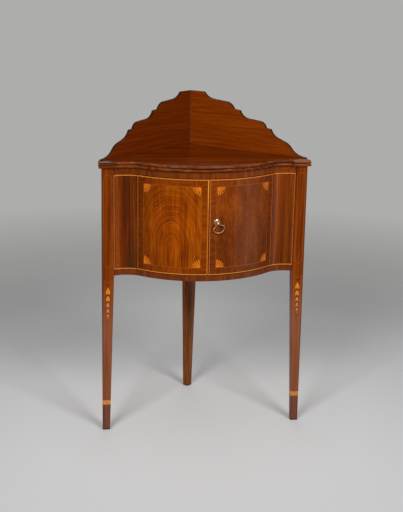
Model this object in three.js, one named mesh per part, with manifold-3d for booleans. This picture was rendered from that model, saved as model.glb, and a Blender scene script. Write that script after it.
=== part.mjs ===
// Corner washstand: two curved doors in a bow and hollow front, three tapered legs, a reeded top
// and two stepped splash boards along the walls.
// Millimetres, +Z up, front towards -Y, X = 0 on the plane of symmetry, Z = 0 on the floor.
// While it is being made, Y = 0 is the plane of the front faces of the front legs.

import * as THREE from 'three';
import { mergeVertices } from 'three/addons/utils/BufferGeometryUtils.js';
import Module from 'manifold-3d';

const wasm = await Module();
wasm.setup();

// Whole piece
const legSpan = 560; // across the outer faces of the front legs, under the top
const topHeight = 770; // floor to the upper surface of the top
const cabinetFoot = 455.5; // floor to the underside of the cabinet
const carcassSetback = 4; // the carcass stops this far short of the corner of the walls

// Clearances
const seam = 0.3; // between two pieces that are fixed together
const runningGap = 0.4; // round a pin, a bar or a spindle that moves
const overrun = 2; // how far a cutter goes past the surface that it opens

// Legs
const legWidth = 30.7; // under the top
const legDepth = 30;
const footWidth = 20.2;
const footDepth = 16.5;
const legSplay = 4; // the front legs lean out by this much, from under the top to the floor
const backLegSide = 33;
const backFootSide = 19;
const cuffBottom = 77; // floor to the lower edge of the band
const cuffHeight = 14;
const cuffThickness = 1.5;

// Top
const topThickness = 16;
const topFrontOverhang = 5.8;
const topSideOverhang = 9;
const reedCount = 2;
const reedDepth = 4;
const reedSteps = 4;

// Splash boards, whose outline is given as shares of their length and rise
const splashRise = 156;
const splashThickness = 9;
const splashOutlineShares = [
  { to: [0.13, 1] },
  { to: [0.14, 0.985] },
  { bend: [0.166, 0.885], to: [0.248, 0.876] },
  { to: [0.343, 0.856] },
  { bend: [0.382, 0.824], to: [0.398, 0.737] },
  { to: [0.45, 0.722] },
  { bend: [0.471, 0.58], to: [0.551, 0.585] },
  { to: [0.621, 0.567] },
  { bend: [0.658, 0.551], to: [0.671, 0.455] },
  { to: [0.71, 0.444] },
  { bend: [0.729, 0.32], to: [0.789, 0.282] },
  { to: [0.836, 0.237] },
  { bend: [0.861, 0.208], to: [0.883, 0.138] },
  { bend: [0.923, 0.022], to: [1, 0.016] },
];
const splashBendSteps = 5;
const splashScrewShare = 0.4; // place of the screw along each board

// Front: a bow between two hollows, in plan
const hollowRadius = 68.6;
const bowAngle = THREE.MathUtils.degToRad(41.29); // heading of the face where bow meets hollow
const hollowEndAngle = THREE.MathUtils.degToRad(25.14); // heading of the face at the leg
const panelSetback = 4.7; // the face meets the leg this far behind the leg's front
const bowFacets = 12;
const hollowFacets = 6;

// Rails, doors and fixed panels, their lengths measured along the face
const topRailHeight = 18;
const bottomRailHeight = 15.8;
const railThickness = 20;
const tenonLength = 12;
const tenonThickness = 8;
const tenonInset = 5;
const tenonShoulder = 3;
const doorThickness = 18;
const fixedPanelWidth = 66.2;
const meetingOffset = -2.5; // the doors meet this far to the right of the middle
const meetingGap = 1.4;
const hingeGap = 1.6;
const railGap = 1.5; // above and below the doors

// Light inlay of the front
const edgingWidth = 3;
const edgingDepth = 1.6;
const hingeEdgingWidth = 1.2;
const legEdgingWidth = 2.2;
const stringWidth = 1.2;
const inlayDepth = 1.2;
const stringInset = 19; // from the edge of a door to the string
const fanRadius = 22.5;
const fanMargin = 0.5;
const fanPetals = 5;
const fanHeart = 5; // radius at which the petals part
const petalWidthShare = 0.84;
const petalTipSteps = 4;

// Light inlay of the front legs
const frameInset = 4; // from the edges of the leg
const frameApexDrop = 17; // from the underside of the top
const frameArchRise = 9;
const frameArchShares = [[1, 0], [0.7, 0.25], [0.42, 0.8], [0, 1]]; // of its half width and rise
const frameFootRise = 32.5; // from the underside of the cabinet
const framePointRise = 8;
const wishboneDrop = 19; // from the underside of the cabinet
const wishboneSpread = 17; // height over which the two strings part
const wishboneInset = 2.4;
const bellDrop = 34; // from the underside of the cabinet
const bells = [
  { height: 19, width: 11.5 },
  { height: 15, width: 10 },
  { height: 12.5, width: 9 },
  { height: 12.5, width: 7.8 },
  { height: 9, width: 6.2 },
];
const bellSpacing = 3;
const bellStemWidth = 0.9;
const bellDotRadius = 1.8;
const bellOutlineShares = [
  [0.08, 0], [0.2, -0.2], [0.36, -0.45], [0.5, -0.78],
  [0.42, -0.96], [0.28, -0.86], [0.14, -0.9], [0, -1],
]; // of its width and height, down its right side

// Carcass behind the front
const sideBoardThickness = 12;
const floorThickness = 10;
const cleatWidth = 12;
const cleatEndInset = 20;
const glueBlockLeg = 20;
const glueBlockLength = 120;
const doorStopWidth = 40;
const doorStopHeight = 12;
const doorStopThickness = 10;

// Centre-pin hinges
const pivotInset = 16; // from the hinge edge of the door, along the face
const pivotDepth = 6.5; // behind the face
const leafWidth = 7;
const leafLength = 36;
const leafThickness = 2;
const pinRadius = 1.75;
const collarRadius = 3.2;
const screwHeadRadius = 1.9;
const screwShankRadius = 1;
const screwLength = 11;
const screwHeadHeight = 1.1;
const hingeScrewShares = [0.4, 0.8]; // along the leaf

// Screws of the splash boards
const splashScrewLength = 38;
const splashScrewRadius = 1.6;
const splashScrewHeadRadius = 3;
const splashScrewHeadHeight = 2;

// Bolt of the left door
const boltInset = 13; // from the meeting edge of the left door, along the face
const boltPlateWidth = 14;
const boltPlateLength = 60;
const boltPlateThickness = 1.5;
const boltPlateDrop = 3; // from the top of the door to the plate
const boltBarSide = 5;
const boltBarLift = 1.6; // from plate to bar
const boltBarDrop = 1.5; // from the top of the door to the bar's end
const boltGuideWall = 2;
const boltGuideHeight = 7;
const boltKnobRadius = 3.5;
const boltKnobReach = 7;
const boltKnobNeck = 1.5;
const keeperHeight = 5;
const keeperLift = 3; // from the underside of the rail to the keeper

// Pull and latch of the right door
const pullInset = 21; // from the meeting edge of the right door, along the face
const pullRiseShare = 0.5587; // of the height of the door
const pullTilt = THREE.MathUtils.degToRad(17); // the ring hangs askew by this much
const rosetteRadius = 8;
const rosetteThickness = 1.6;
const rosetteRimShare = 0.8; // radius of its front edge
const spindleRadius = 2.5;
const postRadius = 3.6;
const postLength = 8.5;
const neckRadius = 2.2;
const neckLength = 1.4;
const finialRadius = 4.4;
const finialSteps = 6;
const ringPivotReach = 6; // from the face of the door to the axis of the ring
const ringWire = 1.15;
const ringPinReach = 1.8;
const ringShoulder = 6;
const ringRadius = 14.9;
const ringDrop = 15.4; // from the ring's axis to the middle of its bow
const ringHoleDepth = 2.6;
const ringArcSteps = 14;
const ringPathSteps = 36;
const ringWireSides = 8;
const bushRadius = 7;
const bushThickness = 2;
const fingerThickness = 2;
const fingerWidth = 8;
const fingerLength = 31;
const spindleEndReach = 1.5;
const roundSides = 12;
const screwSides = 6;

// Worked out from the sizes above
const halfSpan = legSpan / 2;
const stileInner = halfSpan - legWidth;
// The back corners of the front legs stand on the lines of the carcass, which meet at a right angle
const carcassReach = halfSpan + legDepth; // from the legs' front faces back to the carcass's corner
const wallReach = carcassReach + carcassSetback; // and back to the corner of the walls
const topUnder = topHeight - topThickness;
const topRailUnder = topUnder - topRailHeight;
const bottomRailTop = cabinetFoot + bottomRailHeight;
const doorTop = topRailUnder - railGap;
const doorBottom = bottomRailTop + railGap;
const pullHeight = doorBottom + pullRiseShare * (doorTop - doorBottom);
const frameFoot = cabinetFoot + frameFootRise;
const wishboneTop = cabinetFoot - wishboneDrop;
const bellTop = cabinetFoot - bellDrop;
const bowRadius =
  (stileInner - hollowRadius * (Math.sin(bowAngle) + Math.sin(hollowEndAngle))) / Math.sin(bowAngle);
const bowArc = bowRadius * bowAngle;
const faceArc = bowArc + hollowRadius * (bowAngle + hollowEndAngle);
const bowRise = bowRadius * (1 - Math.cos(bowAngle));
const hollowRise = hollowRadius * (Math.cos(hollowEndAngle) - Math.cos(bowAngle));
const bowFront = panelSetback - bowRise - hollowRise;
const hollowCentre = (bowRadius + hollowRadius) * Math.sin(bowAngle);
const hingeLine = faceArc - fixedPanelWidth;
const topHalf = halfSpan + topSideOverhang;
const blockInner = stileInner - topSideOverhang;
const splashLength = (topHalf - reedDepth) * Math.SQRT2;

const leftDoor = {
  name: 'left',
  from: -hingeLine,
  to: meetingOffset - meetingGap / 2,
  bottom: doorBottom,
  top: doorTop,
  edging: { from: hingeEdgingWidth, to: edgingWidth },
};
const rightDoor = {
  name: 'right',
  from: meetingOffset + meetingGap / 2,
  to: hingeLine,
  bottom: doorBottom,
  top: doorTop,
  edging: { from: edgingWidth, to: hingeEdgingWidth },
};
const sides = [{ name: 'left', sign: -1 }, { name: 'right', sign: 1 }];

const group = new THREE.Group();

// Finishes
function finish(color, roughness, metalness) {
  return new THREE.MeshStandardMaterial({ color, roughness, metalness });
}
const mahogany = () => finish(0x6b2a12, 0.35, 0);
const figuredMahogany = () => finish(0x8a4216, 0.32, 0);
const darkMahogany = () => finish(0x4c1d0e, 0.38, 0);
const innerWood = () => finish(0x8c6a45, 0.7, 0);
const satinwood = () => finish(0xc98a3a, 0.4, 0);
const brass = () => finish(0xb9a67a, 0.35, 0.9);

// A closed geometry as a solid that can be cut and joined
function solid(geometry) {
  const bare = geometry.clone();
  bare.deleteAttribute('normal');
  bare.deleteAttribute('uv');
  const merged = mergeVertices(bare);
  const corners = merged.getIndex().array;
  const kept = [];
  for (let i = 0; i < corners.length; i += 3) {
    const [a, b, c] = [corners[i], corners[i + 1], corners[i + 2]];
    if (a !== b && b !== c && c !== a) kept.push(a, b, c);
  }
  const vertProperties = new Float32Array(merged.getAttribute('position').array);
  return new wasm.Manifold(new wasm.Mesh({ numProp: 3, vertProperties, triVerts: new Uint32Array(kept) }));
}

function cut(body, cutters) {
  return cutters.reduce((rest, cutter) => rest.subtract(cutter), body);
}

function join(pieces) {
  return pieces.reduce((whole, piece) => whole.add(piece));
}

// The points of an outline's right half, on its left, in the order that goes on round it
function mirroredPoints(points) {
  return points.map(({ x, y }) => new THREE.Vector2(-x, y)).reverse();
}

// The same solid on the other side of the plane of symmetry
function mirrored(shape) {
  const source = shape.getMesh();
  const vertProperties = source.vertProperties.map((value, i) => (i % 3 === 0 ? -value : value));
  const triVerts = source.triVerts.map((_, i) => source.triVerts[i - (i % 3) + 2 - (i % 3)]);
  return new wasm.Manifold(new wasm.Mesh({ numProp: 3, vertProperties, triVerts }));
}

function onSide(side, shape) {
  return side.sign > 0 ? shape : mirrored(shape);
}

function geometryOf(shape) {
  const source = shape.getMesh();
  const geometry = new THREE.BufferGeometry();
  geometry.setAttribute('position', new THREE.BufferAttribute(new Float32Array(source.vertProperties), 3));
  geometry.setIndex(new THREE.BufferAttribute(new Uint32Array(source.triVerts), 1));
  return geometry;
}

function addPart(name, shape, material) {
  const geometry = geometryOf(shape);
  geometry.computeVertexNormals();
  const mesh = new THREE.Mesh(geometry, material);
  mesh.name = name;
  group.add(mesh);
}

// Moves every vertex of a geometry by a rule
function reshape(geometry, rule) {
  const position = geometry.getAttribute('position');
  const point = new THREE.Vector3();
  for (let i = 0; i < position.count; i += 1) {
    point.fromBufferAttribute(position, i);
    position.setXYZ(i, ...rule(point));
  }
  return geometry;
}

function box(low, high) {
  const size = high.map((value, axis) => value - low[axis]);
  const middle = high.map((value, axis) => (value + low[axis]) / 2);
  return new THREE.BoxGeometry(...size).translate(...middle);
}

// A plan outline raised from one height to another
function planPrism(outline, bottom, top) {
  const shape = outline instanceof THREE.Shape ? outline : new THREE.Shape(outline);
  const settings = { depth: top - bottom, bevelEnabled: false, curveSegments: roundSides };
  return new THREE.ExtrudeGeometry(shape, settings).translate(0, 0, bottom);
}

// A turned body: pairs of radius and place along its axis, the Y axis
function turned(profile, sideCount) {
  const points = profile.map(([radius, along]) => new THREE.Vector2(radius, along));
  return new THREE.LatheGeometry(points, sideCount);
}

function circle(radius, sideCount) {
  const outline = [];
  for (let i = 0; i < sideCount; i += 1) {
    const turn = (i / sideCount) * 2 * Math.PI;
    outline.push(new THREE.Vector2(radius * Math.cos(turn), radius * Math.sin(turn)));
  }
  return outline;
}

// Plan point of the face at a length along it from the middle, and at a depth behind it
function curvePoint(along, depth) {
  const reach = Math.abs(along);
  const onBow = reach <= bowArc;
  const heading = onBow ? reach / bowRadius : bowAngle - (reach - bowArc) / hollowRadius;
  const [sine, cosine] = [Math.sin(heading), Math.cos(heading)];
  const x = onBow ? bowRadius * sine : hollowCentre - hollowRadius * sine;
  const bowY = bowRadius * (1 - cosine);
  const hollowY = bowRise + hollowRadius * (cosine - Math.cos(bowAngle));
  const y = bowFront + (onBow ? bowY : hollowY);
  return new THREE.Vector2(Math.sign(along) * (x - depth * sine), y + depth * cosine);
}

// The face is cut into flat facets, the same ones for every piece of the front
const rightStations = [];
for (let i = 1; i <= bowFacets; i += 1) rightStations.push((i / bowFacets) * bowArc);
for (let i = 1; i <= hollowFacets; i += 1) {
  rightStations.push(bowArc + (i / hollowFacets) * (faceArc - bowArc));
}
const leftStations = rightStations.map((station) => -station).reverse();
const facetStations = [...leftStations, 0, ...rightStations];

function facePoint(along, depth) {
  const passed = facetStations.filter((station) => station <= along).length;
  const cell = Math.min(Math.max(passed - 1, 0), facetStations.length - 2);
  const [start, end] = [facetStations[cell], facetStations[cell + 1]];
  const share = (along - start) / (end - start);
  return curvePoint(start, depth).lerp(curvePoint(end, depth), share);
}

// A slab that follows the face
function curvedSlab({ from, to, bottom, top, front, back }) {
  const inner = facetStations.filter((station) => station > from && station < to);
  const stations = [from, ...inner, to];
  const slices = stations.length - 1;
  const unitBox = new THREE.BoxGeometry(1, 1, 1, slices, 1, 1);
  return solid(reshape(unitBox, (point) => {
    const station = stations[Math.round((point.x + 0.5) * slices)];
    const plan = facePoint(station, point.z > 0 ? front : back);
    return [plan.x, plan.y, point.y > 0 ? top : bottom];
  }));
}

function grown(region, by) {
  const { from, to, bottom, top } = region;
  return { from: from - by, to: to + by, bottom: bottom - by, top: top + by };
}

function inset(region, widths) {
  const { from, to, bottom, top } = region;
  return {
    from: from + widths.from,
    to: to - widths.to,
    bottom: bottom + widths.bottom,
    top: top - widths.top,
  };
}

// A frame that follows the face, between an outer and an inner region
function curvedFrame(outer, inner, front, back) {
  const hole = curvedSlab({ ...inner, front: front - overrun, back: back + overrun });
  return curvedSlab({ ...outer, front, back }).subtract(hole);
}

// A flat outline laid into the face: its x runs along the face, its y up
function bentPrism(outline, along, height, front, back) {
  const settings = { depth: 1, bevelEnabled: false };
  const unitDepth = new THREE.ExtrudeGeometry(new THREE.Shape(outline), settings);
  return solid(reshape(unitDepth, (point) => {
    const plan = facePoint(along + point.x, back + (front - back) * point.z);
    return [plan.x, plan.y, height + point.y];
  }));
}

// Placing on the face: x along it, y into the cabinet, z up
function onFace(geometry, along, height) {
  const step = faceArc / (bowFacets + hollowFacets);
  const direction = facePoint(along + step, 0).sub(facePoint(along - step, 0));
  const place = facePoint(along, 0);
  return geometry.rotateZ(direction.angle()).translate(place.x, place.y, height);
}

// A solid against the right wall: x along it from its corner, y inwards, z up
function againstWall(geometry, reach) {
  const left = reshape(geometry, ({ x, y, z }) => [(y - x) / Math.SQRT2, reach - (x + y) / Math.SQRT2, z]);
  return mirrored(solid(left));
}

// Placing in the pull's own frame, turned by the tilt of the pull
function onPull(geometry) {
  return solid(onFace(geometry.rotateY(-pullTilt), rightDoor.from + pullInset, pullHeight));
}

// A block keeps to its side of the legs' inner faces
function betweenLegs(shape) {
  const reach = stileInner - seam;
  const span = solid(box([-reach, bowFront - legDepth, 0], [reach, wallReach, topHeight]));
  return shape.intersect(span);
}

// Legs
function taperedPost(levels) {
  const last = levels.length - 1;
  const unitBox = new THREE.BoxGeometry(1, 1, 1, 1, 1, last);
  return reshape(unitBox, (point) => {
    const level = levels[Math.round((point.z + 0.5) * last)];
    return [
      point.x > 0 ? level.high[0] : level.low[0],
      point.y > 0 ? level.high[1] : level.low[1],
      level.height,
    ];
  });
}

function taperShare(height) {
  return Math.min(height / cabinetFoot, 1);
}

// Section of the right front leg at a height, moved inwards on all four faces by an inset
function legLevel(height, faceInset) {
  const inwards = THREE.MathUtils.lerp(footWidth - legSplay, legWidth, taperShare(height));
  const outwards = legSplay * (1 - height / topUnder);
  const depth = THREE.MathUtils.lerp(footDepth, legDepth, taperShare(height));
  return {
    height,
    low: [halfSpan - inwards + faceInset, faceInset],
    high: [halfSpan + outwards - faceInset, depth - faceInset],
  };
}

function legMiddle(height) {
  const level = legLevel(height, 0);
  return (level.low[0] + level.high[0]) / 2;
}

function legBand(bottom, top, faceInset) {
  return solid(taperedPost([legLevel(bottom, faceInset), legLevel(top, faceInset)]));
}

function cuff() {
  const core = legBand(cuffBottom - overrun, cuffBottom + cuffHeight + overrun, cuffThickness);
  return legBand(cuffBottom, cuffBottom + cuffHeight, 0).subtract(core);
}

function cuffGroove() {
  const [bottom, top] = [cuffBottom - seam, cuffBottom + cuffHeight + seam];
  const core = legBand(bottom - overrun, top + overrun, cuffThickness + seam);
  return legBand(bottom, top, -overrun).subtract(core);
}

// An outline laid into the front of the right front leg, about the middle line of the leg
function legInlay(outline, holes, depth, proud) {
  const shape = new THREE.Shape(outline);
  shape.holes = holes.map((hole) => new THREE.Path(hole));
  const settings = { depth: depth + proud, bevelEnabled: false };
  const plate = new THREE.ExtrudeGeometry(shape, settings).rotateX(Math.PI / 2).translate(0, depth, 0);
  return solid(reshape(plate, ({ x, y, z }) => [x + legMiddle(z), y, z]));
}

// The arched frame on the stile, moved inwards by an inset
function stileFrame(by) {
  const half = legWidth / 2 - frameInset - by;
  const apex = topUnder - frameApexDrop - by;
  const shoulder = apex - frameArchRise;
  const foot = frameFoot + by;
  const arch = frameArchShares.map(([across, up]) => (
    new THREE.Vector2(across * half, shoulder + up * frameArchRise)
  ));
  const right = [new THREE.Vector2(half, foot + framePointRise), ...arch];
  return [new THREE.Vector2(0, foot), ...right, ...mirroredPoints(right.slice(0, -1))];
}

// Two strings that part over the bellflowers and run down beside the edges of the leg
function wishbone(by) {
  const foot = cuffBottom + cuffHeight + seam + stringWidth - by;
  const halfAt = (height) => legMiddle(height) - legLevel(height, 0).low[0] - wishboneInset;
  const part = wishboneTop - wishboneSpread;
  const outer = [
    new THREE.Vector2(halfAt(foot) + by, foot),
    new THREE.Vector2(halfAt(part) + by, part),
    new THREE.Vector2(0, wishboneTop + by),
  ];
  const inner = [
    new THREE.Vector2(0, wishboneTop - stringWidth - by),
    new THREE.Vector2(halfAt(part) - stringWidth - by, part),
    new THREE.Vector2(halfAt(foot) - stringWidth - by, foot),
  ];
  const right = [...inner.slice(1), ...outer.slice(0, -1)];
  return [inner[0], ...right, outer[2], ...mirroredPoints(right)];
}

function stileString(by, depth, proud) {
  return legInlay(stileFrame(-by), [stileFrame(stringWidth + by)], depth, proud);
}

function legString(by, depth, proud) {
  return legInlay(wishbone(by), [], depth, proud);
}

// An outline run anticlockwise, with every side moved outwards
function widened(outline, by) {
  return outline.map((point, i) => {
    const before = point.clone().sub(outline.at(i - 1)).normalize();
    const after = outline[(i + 1) % outline.length].clone().sub(point).normalize();
    const bisector = before.clone().add(after).normalize();
    const outwards = new THREE.Vector2(bisector.y, -bisector.x);
    return point.clone().addScaledVector(outwards, by / bisector.dot(before));
  });
}

function bellOutline(bell, top, by) {
  const right = bellOutlineShares.map(([across, down]) => (
    new THREE.Vector2(across * bell.width, top + down * bell.height)
  ));
  return widened([...right, ...mirroredPoints(right.slice(0, -1))].reverse(), by);
}

// Five husks and an end dot on one stem
function bellflowers(by, depth, proud) {
  const flowers = [];
  const half = bellStemWidth / 2 + by;
  let top = bellTop;
  for (const bell of bells) {
    flowers.push(legInlay(bellOutline(bell, top, by), [], depth, proud));
    top -= bell.height + bellSpacing;
  }
  const dot = circle(bellDotRadius + by, roundSides / 2);
  const middle = top - bellDotRadius;
  flowers.push(legInlay(dot.map(({ x, y }) => new THREE.Vector2(x, middle + y)), [], depth, proud));
  const stem = [
    new THREE.Vector2(-half, middle),
    new THREE.Vector2(half, middle),
    new THREE.Vector2(half, bellTop - bellSpacing),
    new THREE.Vector2(-half, bellTop - bellSpacing),
  ];
  flowers.push(legInlay(stem, [], depth, proud));
  return join(flowers);
}

// A tenon on the right end of a rail, or the mortise for it, grown by a clearance
function tenon(rail, by) {
  const front = panelSetback + tenonInset;
  return solid(box(
    [stileInner - tenonLength, front - by, rail.bottom + tenonShoulder - by],
    [stileInner + tenonLength + by, front + tenonThickness + by, rail.top - tenonShoulder + by],
  ));
}

const topRail = { bottom: topRailUnder, top: topUnder };
const bottomRail = { bottom: cabinetFoot, top: bottomRailTop };

function frontLeg() {
  const levels = [legLevel(0, 0), legLevel(cabinetFoot, 0), legLevel(topUnder, 0)];
  return cut(solid(taperedPost(levels)), [
    tenon(topRail, seam),
    tenon(bottomRail, seam),
    cuffGroove(),
    stileString(seam, inlayDepth + seam, overrun),
    legString(seam, inlayDepth + seam, overrun),
    bellflowers(seam, inlayDepth + seam, overrun),
  ]);
}

function backLeg() {
  const square = (side, height) => ({ height, low: [0, 0], high: [side, side] });
  const levels = [square(backFootSide, 0), square(backLegSide, cabinetFoot), square(backLegSide, topUnder)];
  return againstWall(taperedPost(levels), carcassReach);
}

// Board along the right wall, from the back leg to the mitred joint behind the front leg
function sideBoard() {
  const start = backLegSide + seam;
  const end = (carcassReach - legDepth - seam) * Math.SQRT2;
  const board = [
    new THREE.Vector2(start, 0),
    new THREE.Vector2(end, 0),
    new THREE.Vector2(end - sideBoardThickness, sideBoardThickness),
    new THREE.Vector2(start, sideBoardThickness),
  ];
  return againstWall(planPrism(board, cabinetFoot, topUnder), carcassReach);
}

// Rails
function rail(region) {
  const slab = curvedSlab({ from: -faceArc, to: faceArc, ...region, front: 0, back: railThickness });
  const tenons = [tenon(region, 0), mirrored(tenon(region, 0))];
  return join([betweenLegs(slab), ...tenons]);
}

// Hinges: the plan outline of a leaf, from the axis towards the middle of the door
const pivotAlong = hingeLine - pivotInset;
const pivotPlan = facePoint(pivotAlong, pivotDepth);
const leafAim = facePoint(pivotAlong - leafLength, doorThickness / 2).sub(pivotPlan).angle();

function toLeaf(geometry) {
  return geometry.rotateZ(leafAim).translate(pivotPlan.x, pivotPlan.y, 0);
}

function leafOutline(by) {
  const half = leafWidth / 2 + by;
  const shape = new THREE.Shape();
  shape.moveTo(0, -half);
  shape.lineTo(leafLength + by, -half);
  shape.lineTo(leafLength + by, half);
  shape.lineTo(0, half);
  shape.absarc(0, 0, half, Math.PI / 2, (3 * Math.PI) / 2, false);
  return shape;
}

function leaf(bottom, top, by) {
  const settings = { depth: top - bottom, bevelEnabled: false, curveSegments: roundSides / 2 };
  return solid(toLeaf(new THREE.ExtrudeGeometry(leafOutline(by), settings).translate(0, 0, bottom)));
}

function pinAt(radius, bottom, top) {
  return solid(toLeaf(planPrism(circle(radius, roundSides), bottom, top)));
}

// A countersunk screw, head at zero, its point along Y, or the hole for it
function screw({ head, headHeight, shank, length }, by) {
  const profile = [
    [0, -by],
    [head + by, -by],
    [head + by, 0],
    [shank + by, headHeight],
    [shank + by, length - headHeight],
    [0, length + by],
  ];
  return turned(by > 0 ? profile : profile.filter((_, i) => i !== 2), screwSides);
}

const hingeScrew = {
  head: screwHeadRadius,
  headHeight: screwHeadHeight,
  shank: screwShankRadius,
  length: screwLength,
};

// The screws of one leaf, driven down (-1) or up (1) from a height
function leafScrews(height, direction, by) {
  const screws = hingeScrewShares.map((share) => {
    const standing = screw(hingeScrew, by).rotateX(direction * Math.PI / 2);
    return solid(toLeaf(standing.translate(share * leafLength, 0, height)));
  });
  return join(screws);
}

// The four places of a leaf: its height, the face that its screws start from and their direction
const seats = {
  doorTop: { bottom: doorTop - leafThickness, top: doorTop, face: doorTop, direction: -1 },
  doorBottom: { bottom: doorBottom, top: doorBottom + leafThickness, face: doorBottom, direction: 1 },
  railTop: { bottom: topRailUnder, top: topRailUnder + leafThickness, face: topRailUnder, direction: 1 },
  railBottom: {
    bottom: bottomRailTop - leafThickness,
    top: bottomRailTop,
    face: bottomRailTop,
    direction: -1,
  },
};

// What a leaf and its screws take out of the wood
function leafPocket(seat) {
  const up = seat.direction > 0;
  const bottom = up ? seat.bottom - overrun : seat.bottom - seam;
  const top = up ? seat.top + seam : seat.top + overrun;
  return join([leaf(bottom, top, seam), leafScrews(seat.face, seat.direction, seam)]);
}

// A leaf with its two screws, and the hole that turns on the pin
function doorLeaf(seat) {
  const hole = pinAt(pinRadius + runningGap, seat.bottom - overrun, seat.top + overrun);
  const plate = leaf(seat.bottom, seat.top, 0).subtract(hole);
  return join([plate, leafScrews(seat.face, seat.direction, 0)]);
}

// A leaf with its two screws, the collar that the door bears on, and the pin
function railLeaf(seat) {
  const plate = join([leaf(seat.bottom, seat.top, 0), leafScrews(seat.face, seat.direction, 0)]);
  const inside = seat.face + seat.direction * leafThickness / 2;
  const collarEnd = seat.face - seat.direction * (railGap - seam);
  const pinEnd = seat.face - seat.direction * (railGap + leafThickness - seam);
  const between = (a, b) => [Math.min(a, b), Math.max(a, b)];
  const collar = pinAt(collarRadius, ...between(inside, collarEnd));
  return join([plate, collar, pinAt(pinRadius, ...between(inside, pinEnd))]);
}

function onBothSides(shape) {
  return join([shape, mirrored(shape)]);
}

// Doors
function edgingInner(door) {
  return inset(door, { ...door.edging, bottom: edgingWidth, top: edgingWidth });
}

function stringRegion(door) {
  const even = { from: stringInset, to: stringInset, bottom: stringInset, top: stringInset };
  return inset(door, even);
}

function doorString(door, by, front, depth) {
  const outer = stringRegion(door);
  return curvedFrame(grown(outer, by), grown(outer, -stringWidth - by), front, depth);
}

// A quarter fan from its corner outwards, its petals joined at the heart
function fanOutline(quarter, by) {
  const pitch = Math.PI / 2 / fanPetals;
  const halfAngle = (pitch / 2) * petalWidthShare;
  const tipCentre = fanRadius / (1 + Math.sin(halfAngle));
  const tipRadius = fanRadius - tipCentre;
  const tipGap = 2 * tipCentre * Math.sin(pitch / 2) - 2 * tipRadius;
  const notch = fanHeart + (tipCentre - fanHeart) * (2 * by / tipGap);
  const polar = (radius, angle) => new THREE.Vector2(radius * Math.cos(angle), radius * Math.sin(angle));
  const outline = [new THREE.Vector2(-by, -by)];
  for (let i = 0; i < fanPetals; i += 1) {
    if (i > 0) outline.push(polar(notch, i * pitch));
    const heading = (i + 0.5) * pitch;
    for (let step = 0; step <= petalTipSteps; step += 1) {
      const turn = heading - Math.PI / 2 + (step / petalTipSteps) * Math.PI;
      outline.push(polar(tipCentre, heading).add(polar(tipRadius + by, turn)));
    }
  }
  return outline.map((point) => point.rotateAround(new THREE.Vector2(), quarter * Math.PI / 2));
}

const fanCorners = ['bottom_left', 'bottom_right', 'top_right', 'top_left'];

function doorFan(door, quarter, by, front, depth) {
  const field = grown(stringRegion(door), -stringWidth - seam - fanMargin);
  const along = quarter === 0 || quarter === 3 ? field.from : field.to;
  const height = quarter < 2 ? field.bottom : field.top;
  return bentPrism(fanOutline(quarter, by), along, height, front, depth);
}

function doorBody(door) {
  const { from, to, bottom, top } = door;
  const hinge = onSide(door.name === 'left' ? sides[0] : sides[1], join([
    leafPocket(seats.doorTop),
    leafPocket(seats.doorBottom),
  ]));
  const edgingRecess = curvedFrame(
    grown(door, overrun),
    grown(edgingInner(door), -seam),
    -overrun,
    edgingDepth + seam,
  );
  return cut(curvedSlab({ from, to, bottom, top, front: 0, back: doorThickness }), [
    hinge,
    edgingRecess,
    doorString(door, seam, -overrun, inlayDepth + seam),
    ...fanCorners.map((_, quarter) => doorFan(door, quarter, seam, -overrun, inlayDepth + seam)),
  ]);
}

// Fixed panel on the right
const panelRegion = { from: hingeLine + hingeGap, to: faceArc, bottom: bottomRailTop, top: topRailUnder };
const panelEdgingOuter = { ...panelRegion, to: faceArc - seam, bottom: doorBottom, top: doorTop };
const panelEdgingInner = inset(panelEdgingOuter, {
  from: 0,
  to: legEdgingWidth,
  bottom: edgingWidth,
  top: edgingWidth,
});

function openAtHinge(region, by) {
  return { ...region, from: region.from - by };
}

function panelEdging() {
  const inner = openAtHinge(panelEdgingInner, overrun);
  return betweenLegs(curvedFrame(panelEdgingOuter, inner, 0, edgingDepth));
}

function fixedPanel() {
  const recess = curvedFrame(
    grown(panelEdgingOuter, seam),
    openAtHinge(grown(panelEdgingInner, -seam), overrun),
    -overrun,
    edgingDepth + seam,
  );
  return betweenLegs(curvedSlab({ ...panelRegion, front: 0, back: doorThickness })).subtract(recess);
}

// Top: rings of the outline, drawn in by the profile of the reeds
function topRing(drawIn, height) {
  const offset = topFrontOverhang - drawIn;
  const side = blockInner + drawIn;
  const endHeading = Math.asin((hollowCentre - side) / (hollowRadius - offset));
  const reach = bowArc + hollowRadius * (bowAngle - endHeading);
  const slices = 2 * (bowFacets + hollowFacets);
  const ring = [];
  for (let i = 0; i <= slices; i += 1) ring.push(curvePoint((2 * i / slices - 1) * reach, -offset));
  const front = drawIn - topFrontOverhang;
  const end = topHalf - drawIn;
  ring.push(new THREE.Vector2(side, front));
  ring.push(new THREE.Vector2(end, front));
  ring.push(new THREE.Vector2(end, wallReach - end));
  ring.push(new THREE.Vector2(0, wallReach));
  ring.push(new THREE.Vector2(-end, wallReach - end));
  ring.push(new THREE.Vector2(-end, front));
  ring.push(new THREE.Vector2(-side, front));
  return ring.map(({ x, y }) => new THREE.Vector3(x, y, height));
}

function loft(rings) {
  const count = rings[0].length;
  const lid = THREE.ShapeUtils.triangulateShape(rings[0].map(({ x, y }) => new THREE.Vector2(x, y)), []);
  const last = (rings.length - 1) * count;
  const corners = lid.flatMap(([a, b, c]) => [c, b, a, last + a, last + b, last + c]);
  for (let level = 0; level < rings.length - 1; level += 1) {
    for (let i = 0; i < count; i += 1) {
      const [here, next] = [level * count + i, level * count + ((i + 1) % count)];
      corners.push(here, next, next + count, here, next + count, here + count);
    }
  }
  const geometry = new THREE.BufferGeometry().setFromPoints(rings.flat());
  geometry.setIndex(corners);
  return solid(geometry);
}

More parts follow.
